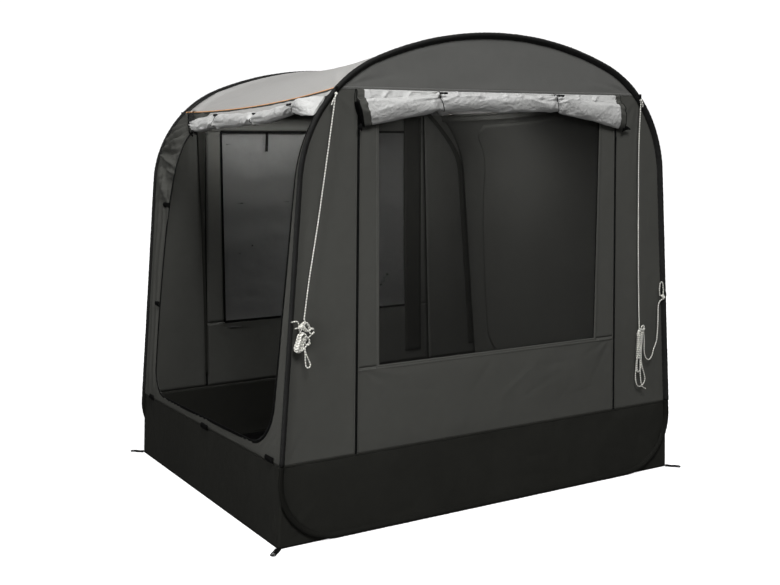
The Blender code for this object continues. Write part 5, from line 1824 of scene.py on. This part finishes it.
def barrel_template():
    """A barrel toggle along X, turned on its axis with a groove at its middle."""
    deselect()
    bpy.ops.mesh.primitive_cylinder_add(
        vertices=16, radius=0.005, depth=0.038, end_fill_type="NGON", rotation=(0, math.pi / 2, 0)
    )
    obj = bpy.context.active_object
    bpy.ops.object.transform_apply(location=False, rotation=True, scale=True)
    bpy.ops.object.mode_set(mode="EDIT")
    for place in (-0.0045, -0.0025, 0.0025, 0.0045):
        bpy.ops.mesh.select_all(action="SELECT")
        bpy.ops.mesh.bisect(plane_co=(place, 0, 0), plane_no=(1, 0, 0))
    bpy.ops.object.mode_set(mode="OBJECT")
    for vertex in obj.data.vertices:
        if abs(vertex.co.x) < 0.003:
            vertex.co.y *= 0.62
            vertex.co.z *= 0.62
        elif abs(vertex.co.x) > 0.018:
            vertex.co.y *= 0.86
            vertex.co.z *= 0.86
    bevel = obj.modifiers.new("round", "BEVEL")
    bevel.width = 0.0012
    bevel.segments = 2
    bevel.limit_method = "ANGLE"
    apply_modifiers(obj)
    return template_of(obj)


def make_toggles():
    template = barrel_template()
    places, roll = door_roll_grid()
    names = [f"front_toggle_{part}" for part in ("left", "right")]
    names += [f"left_toggle_{part}" for part in ("front", "middle", "back")]
    for k, name in enumerate(names, -2):
        low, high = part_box(name)
        middle = (np.array(low) + np.array(high)) / 2
        axes = np.eye(3)
        if k >= 0:
            row = int(np.argmin(np.abs(places - DOOR_TIES[k])))
            ring = roll[row][:-1]
            centre = ring.mean(0)
            outer = ring[ring[:, 0] < centre[0]]
            point = outer[int(np.argmin(np.abs(outer[:, 2] - DOOR_TOGGLE_HEIGHTS[k])))]
            outward = unit((point - centre) * (1, 0, 1))
            along = roll[row + 12][:-1].mean(0) - roll[row - 12][:-1].mean(0)
            along = unit(along - outward * (along @ outward))
            middle = point + outward * (0.0095 if k == 1 else 0.0065)
            axes = (along, outward, np.cross(along, outward))
        copies_piece(f"{name}_barrel", template, [(middle, *axes)], "moulded_black", (name,))


# Zips


def tooth_template(width, length, height):
    """One coil of a zip: a small block with its top pulled in."""
    deselect()
    bpy.ops.mesh.primitive_cube_add(size=1.0)
    obj = bpy.context.active_object
    for vertex in obj.data.vertices:
        taper = 0.6 if vertex.co.z > 0 else 1.0
        vertex.co.x *= length * taper
        vertex.co.y *= width * (0.8 if vertex.co.z > 0 else 1.0)
        vertex.co.z = (vertex.co.z + 0.5) * height
    return template_of(obj)


def teeth_places(path, up, pitch):
    """Where each coil of a zip sits along its line: place, ahead, side and up."""
    path = np.asarray(path, float)
    count = max(2, round(line_length(path) / pitch))
    line = resample(path, count)
    ahead = unit(np.gradient(line, axis=0))
    wanted, known = np.linspace(0, 1, count), np.linspace(0, 1, len(path))
    ups = np.broadcast_to(np.asarray(up, float), path.shape)
    ups = unit(np.stack([np.interp(wanted, known, ups[:, k]) for k in range(3)], 1))
    return list(zip(line, ahead, np.cross(ups, ahead), ups))


def slider_piece(name, place, down, out):
    """A zip's slider with its pull tab, shaped from a block."""
    deselect()
    bpy.ops.mesh.primitive_cube_add(size=1.0, scale=(0.0075, 0.012, 0.0035))
    obj = bpy.context.active_object
    bpy.ops.object.transform_apply(location=False, rotation=False, scale=True)
    bpy.ops.object.mode_set(mode="EDIT")
    bpy.ops.mesh.select_all(action="SELECT")
    bpy.ops.mesh.bevel(offset=0.0009, segments=2)
    bpy.ops.mesh.primitive_cube_add(size=1.0, location=(0, 0.016, 0.0028), scale=(0.0048, 0.030, 0.0012))
    bpy.ops.mesh.bevel(offset=0.0005, segments=1)
    bpy.ops.mesh.primitive_torus_add(
        location=(0, 0.003, 0.0024), major_radius=0.0030, minor_radius=0.0007,
        major_segments=14, minor_segments=6,
    )
    bpy.ops.object.mode_set(mode="OBJECT")
    template = template_of(obj)
    down, out = np.asarray(down, float), np.asarray(out, float)
    side = np.cross(down, out)
    copies_piece(name, template, [(np.asarray(place), side, down, out)], "moulded_black")


def make_zips():
    tooth = tooth_template(0.0042, 0.0016, 0.0013)
    for prefix, side in ENDS:
        low = MUD_TOP_FRONT if side < 0 else rise(MUD_TOP_BACK)
        for label, hand in HANDS:
            name = f"{prefix}_zip_{label}"
            z = np.linspace(low + 0.001, SEAM_HEIGHT - 0.001, 150)
            path = end_point(zip_x(hand, z), z, side, 0.0008)
            ribbon_piece(f"{name}_tape", path, (1, 0, 0), (0, side, 0), sizes().zip_tape, "zip_tape",
                         crown=0.0003, nodes=(name,))
            places = teeth_places(path, (0, side, 0), 0.0030)
            copies_piece(f"{name}_coil", tooth, places, "zip_coil")
            for tape_side in (-1, 1):
                edge = "out" if tape_side == hand else "in"
                line = path + (tape_side * 0.0085, 0, 0)
                ribbon_piece(f"{name}_welt_{edge}", line, (1, 0, 0), (0, side, 0), 0.0065,
                             "wall_cloth", thickness=0.0009, crown=0.0010)
        if side < 0:
            for label, hand in HANDS:
                place = (zip_x(hand, 1.62), side * (FACE + 0.0035), 1.62)
                slider_piece(f"{prefix}_slider_{label}", place, (0, 0, -1), (0, side, 0))
    for prefix, hand in HANDS:
        inner, outer = (0.0, 0.013) if hand < 0 else (-0.010, 0.012)
        middle = (inner + outer) / 2
        bands = []
        for margin in np.linspace(inner, outer, 5):
            front, foot, back, _ = door_sides(float(margin))
            line = np.concatenate((resample(front, 110)[:-1], resample(foot, 100)[:-1], resample(back, 110)))
            lift = 0.0012 + 0.0006 * (1 - ((margin - middle) / (outer - middle)) ** 2)
            bands.append(wall_point(line[:, 0], wall_level(line[:, 0], line[:, 1]), hand, lift))
        grid = taped_piece(f"{prefix}_door_tape", bands, (hand, 0, 0.1), 0.0010, "zip_tape",
                           (f"{prefix}_door_zip",))
        coil = grid[:, 0 if hand < 0 else 2]
        normal = np.broadcast_to((hand, 0, 0.12), coil.shape)
        places = teeth_places(coil + normal * 0.0006, normal, 0.0032)
        copies_piece(f"{prefix}_door_coil", tooth, places, "zip_coil")


# Webbing


def strap(name, path, across, up, width, nodes=()):
    ribbon_piece(name, path, across, up, width, "black_webbing", 0.0016, 0.0002, nodes)


def make_webbing():
    for end, side in ENDS:
        for label, hand in HANDS:
            make_peg_loop(f"peg_loop_{end}_{label}", hand, side)
            make_guy_loop(f"guy_loop_{end}_{label}", hand, side)
    turn = np.linspace(0.15, math.pi - 0.15, 12)
    for k, (y, z, width) in enumerate(WALL_TABS):
        y, z = np.array((y,)), np.array((z,))
        base = wall_point(y, wall_level(y, z), LEFT)[0]
        path = base + np.stack((-0.0015 - 0.008 * np.sin(turn), 0 * turn, 0.013 * np.cos(turn)), 1)
        strap(f"wall_tab_{k + 1}", path, (0, 1, 0), (-1, 0, 0), width)
    edge = half_width(0.868, 0.0) - 0.001
    path = np.stack((edge + 0.008 * np.sin(turn), 0 * turn - HOOP_Y, 0.868 + 0.017 * np.cos(turn)), 1)
    strap("leg_tab_right", path, (0, 1, 0), (1, 0, 0), 0.018)
    for label, x in (("left", -0.338), ("right", 0.31)):
        z = np.linspace(1.652, 1.545, 16)
        path = np.stack((x + 0.002 * np.sin(z * 40), FACE - 0.006 - 0.002 * np.cos(z * 30), z), 1)
        strap(f"window_strap_{label}", path, (1, 0, 0), (0, -1, 0), 0.016)


def make_peg_loop(name, hand, side):
    """Folded webbing that lies on the ground, with a steel eyelet for the peg."""
    length, half, eyelet, hole_radius = 0.075, 0.0122, 0.0625, 0.0062
    start = np.array((hand * BASE_HALF_WIDTH, side * FACE, 0.0))
    ahead = np.array((hand, side, 0.0)) / math.sqrt(2)
    across = np.array((-ahead[1], ahead[0], 0.0))
    up = np.array((0, 0, 1.0))
    place = np.linspace(0.0004, length, 40)
    rounded = np.sqrt(np.clip(half**2 - (place - length + half) ** 2, 1e-9, None))
    reach = np.where(place > length - half, rounded, half)
    hole = np.sqrt(np.clip(hole_radius**2 - (place - eyelet) ** 2, 0, None))
    share = np.linspace(0, 1, 8)[None, :]
    grids = []
    for sign in (-1, 1):
        offset = sign * (hole[:, None] * (1 - share) + reach[:, None] * share)
        wave = 0.0046 + 0.0006 * np.sin(place * 160)[:, None] + 0 * offset
        grid = start + ahead * place[:, None, None] + across * offset[..., None] + up * wave[..., None]
        grids.append((grid, np.stack((place[:, None] + 0 * offset, offset), -1)))
    obj = thicken(build_object(f"{name}_webbing", grids, outward=(0, 0, 1)), 0.0040)
    finish_piece(obj, "black_webbing", (name,))
    centre = start + ahead * eyelet + up * 0.0050
    copies_piece(f"{name}_eyelet", torus_template(0.0076, 0.0012, 28), [(centre, ahead, across, up)],
                 "steel_eyelet", smooth=True)


def make_guy_loop(name, hand, side):
    """A webbing loop sewn on the sleeve at the shoulder."""
    low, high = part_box(name)
    middle = (np.array(low) + np.array(high)) / 2 - (hand * 0.005, 0, 0)
    turn = np.linspace(-0.2, math.pi + 0.2, 16)
    bow = np.stack((0 * turn, side * (0.0015 * np.sin(turn) + 0.0003), 0.013 * np.cos(turn)), 1)
    strap(f"{name}_webbing", middle + bow, (1, 0, 0), (0, side, 0), 0.013, (name,))


# Operators


class TENT_OT_stage(bpy.types.Operator):
    """Set up the pale floor, soft light and camera"""

    bl_idname = "tent.make_stage"
    bl_label = "Stage"

    def execute(self, context):
        make_stage()
        return {"FINISHED"}


class TENT_OT_materials(bpy.types.Operator):
    """Build the shader groups and the cloth, net, rope and trim materials"""

    bl_idname = "tent.make_materials"
    bl_label = "Materials"

    def execute(self, context):
        build_groups()
        build_materials()
        return {"FINISHED"}


class TENT_OT_ropes(bpy.types.Operator):
    """Lay the two guy ropes with their hanks, tails and knots"""

    bl_idname = "tent.make_ropes"
    bl_label = "Guy Ropes"

    def execute(self, context):
        make_ropes()
        return {"FINISHED"}


class TENT_OT_sleeves(bpy.types.Operator):
    """Sweep the hoop sleeves and their hems along the ground"""

    bl_idname = "tent.make_sleeves"
    bl_label = "Hoop Sleeves"

    def execute(self, context):
        make_sleeves()
        return {"FINISHED"}


class TENT_OT_end_walls(bpy.types.Operator):
    """Sew the gables, panels, mud walls and seams of both ends"""

    bl_idname = "tent.make_end_walls"
    bl_label = "End Walls"

    def execute(self, context):
        make_end_walls()
        make_back_cover()
        make_inner_trim()
        return {"FINISHED"}


class TENT_OT_windows(bpy.types.Operator):
    """Stretch the window nets"""

    bl_idname = "tent.make_windows"
    bl_label = "Window Nets"

    def execute(self, context):
        make_windows()
        return {"FINISHED"}


class TENT_OT_sides(bpy.types.Operator):
    """Sew the side walls, their mud walls and the closed door"""

    bl_idname = "tent.make_sides"
    bl_label = "Side Walls"

    def execute(self, context):
        make_sides()
        return {"FINISHED"}


class TENT_OT_roof(bpy.types.Operator):
    """Stretch the roof between the hoops, with its piping and lining"""

    bl_idname = "tent.make_roof"
    bl_label = "Roof"

    def execute(self, context):
        make_roof()
        return {"FINISHED"}


class TENT_OT_ground(bpy.types.Operator):
    """Lay the groundsheet"""

    bl_idname = "tent.make_ground"
    bl_label = "Groundsheet"

    def execute(self, context):
        make_ground()
        return {"FINISHED"}


class TENT_OT_rolls(bpy.types.Operator):
    """Roll up the front cover and the side door"""

    bl_idname = "tent.make_rolls"
    bl_label = "Rolled Covers"

    def execute(self, context):
        make_cover_roll()
        make_door_roll()
        return {"FINISHED"}


class TENT_OT_toggles(bpy.types.Operator):
    """Turn the barrel toggles that hold the rolls"""

    bl_idname = "tent.make_toggles"
    bl_label = "Toggles"

    def execute(self, context):
        make_toggles()
        return {"FINISHED"}


class TENT_OT_zips(bpy.types.Operator):
    """Set the zips with their tapes, coils and sliders"""

    bl_idname = "tent.make_zips"
    bl_label = "Zips"

    def execute(self, context):
        make_zips()
        return {"FINISHED"}


class TENT_OT_webbing(bpy.types.Operator):
    """Sew on the peg loops, guy loops, tabs and straps"""

    bl_idname = "tent.make_webbing"
    bl_label = "Webbing"

    def execute(self, context):
        make_webbing()
        return {"FINISHED"}


OPERATORS = (
    TENT_OT_stage,
    TENT_OT_materials,
    TENT_OT_ropes,
    TENT_OT_sleeves,
    TENT_OT_end_walls,
    TENT_OT_windows,
    TENT_OT_sides,
    TENT_OT_roof,
    TENT_OT_ground,
    TENT_OT_rolls,
    TENT_OT_toggles,
    TENT_OT_zips,
    TENT_OT_webbing,
)


class TENT_PT_panel(bpy.types.Panel):
    """Sizes, colours and build steps of the tent"""

    bl_idname = "TENT_PT_panel"
    bl_label = "Van Tent"
    bl_space_type = "VIEW_3D"
    bl_region_type = "UI"
    bl_category = "Van Tent"

    def draw(self, context):
        layout = self.layout
        for group in (context.scene.tent_sizes, context.scene.tent_colours):
            box = layout.box()
            for name in group.__annotations__:
                box.prop(group, name)
        for operator in OPERATORS:
            layout.operator(operator.bl_idname)


CLASSES = (TentSizes, TentColours, *OPERATORS, TENT_PT_panel)


def register():
    for cls in CLASSES:
        bpy.utils.register_class(cls)
    bpy.types.Scene.tent_sizes = bpy.props.PointerProperty(type=TentSizes)
    bpy.types.Scene.tent_colours = bpy.props.PointerProperty(type=TentColours)


def unregister():
    del bpy.types.Scene.tent_colours
    del bpy.types.Scene.tent_sizes
    for cls in reversed(CLASSES):
        bpy.utils.unregister_class(cls)


def main():
    register()
    bpy.ops.tent.make_stage()
    bpy.ops.tent.make_materials()
    bpy.ops.tent.make_ropes()
    bpy.ops.tent.make_sleeves()
    bpy.ops.tent.make_end_walls()
    bpy.ops.tent.make_windows()
    bpy.ops.tent.make_sides()
    bpy.ops.tent.make_roof()
    bpy.ops.tent.make_ground()
    bpy.ops.tent.make_rolls()
    bpy.ops.tent.make_toggles()
    bpy.ops.tent.make_zips()
    bpy.ops.tent.make_webbing()


if __name__ == "__main__":
    main()
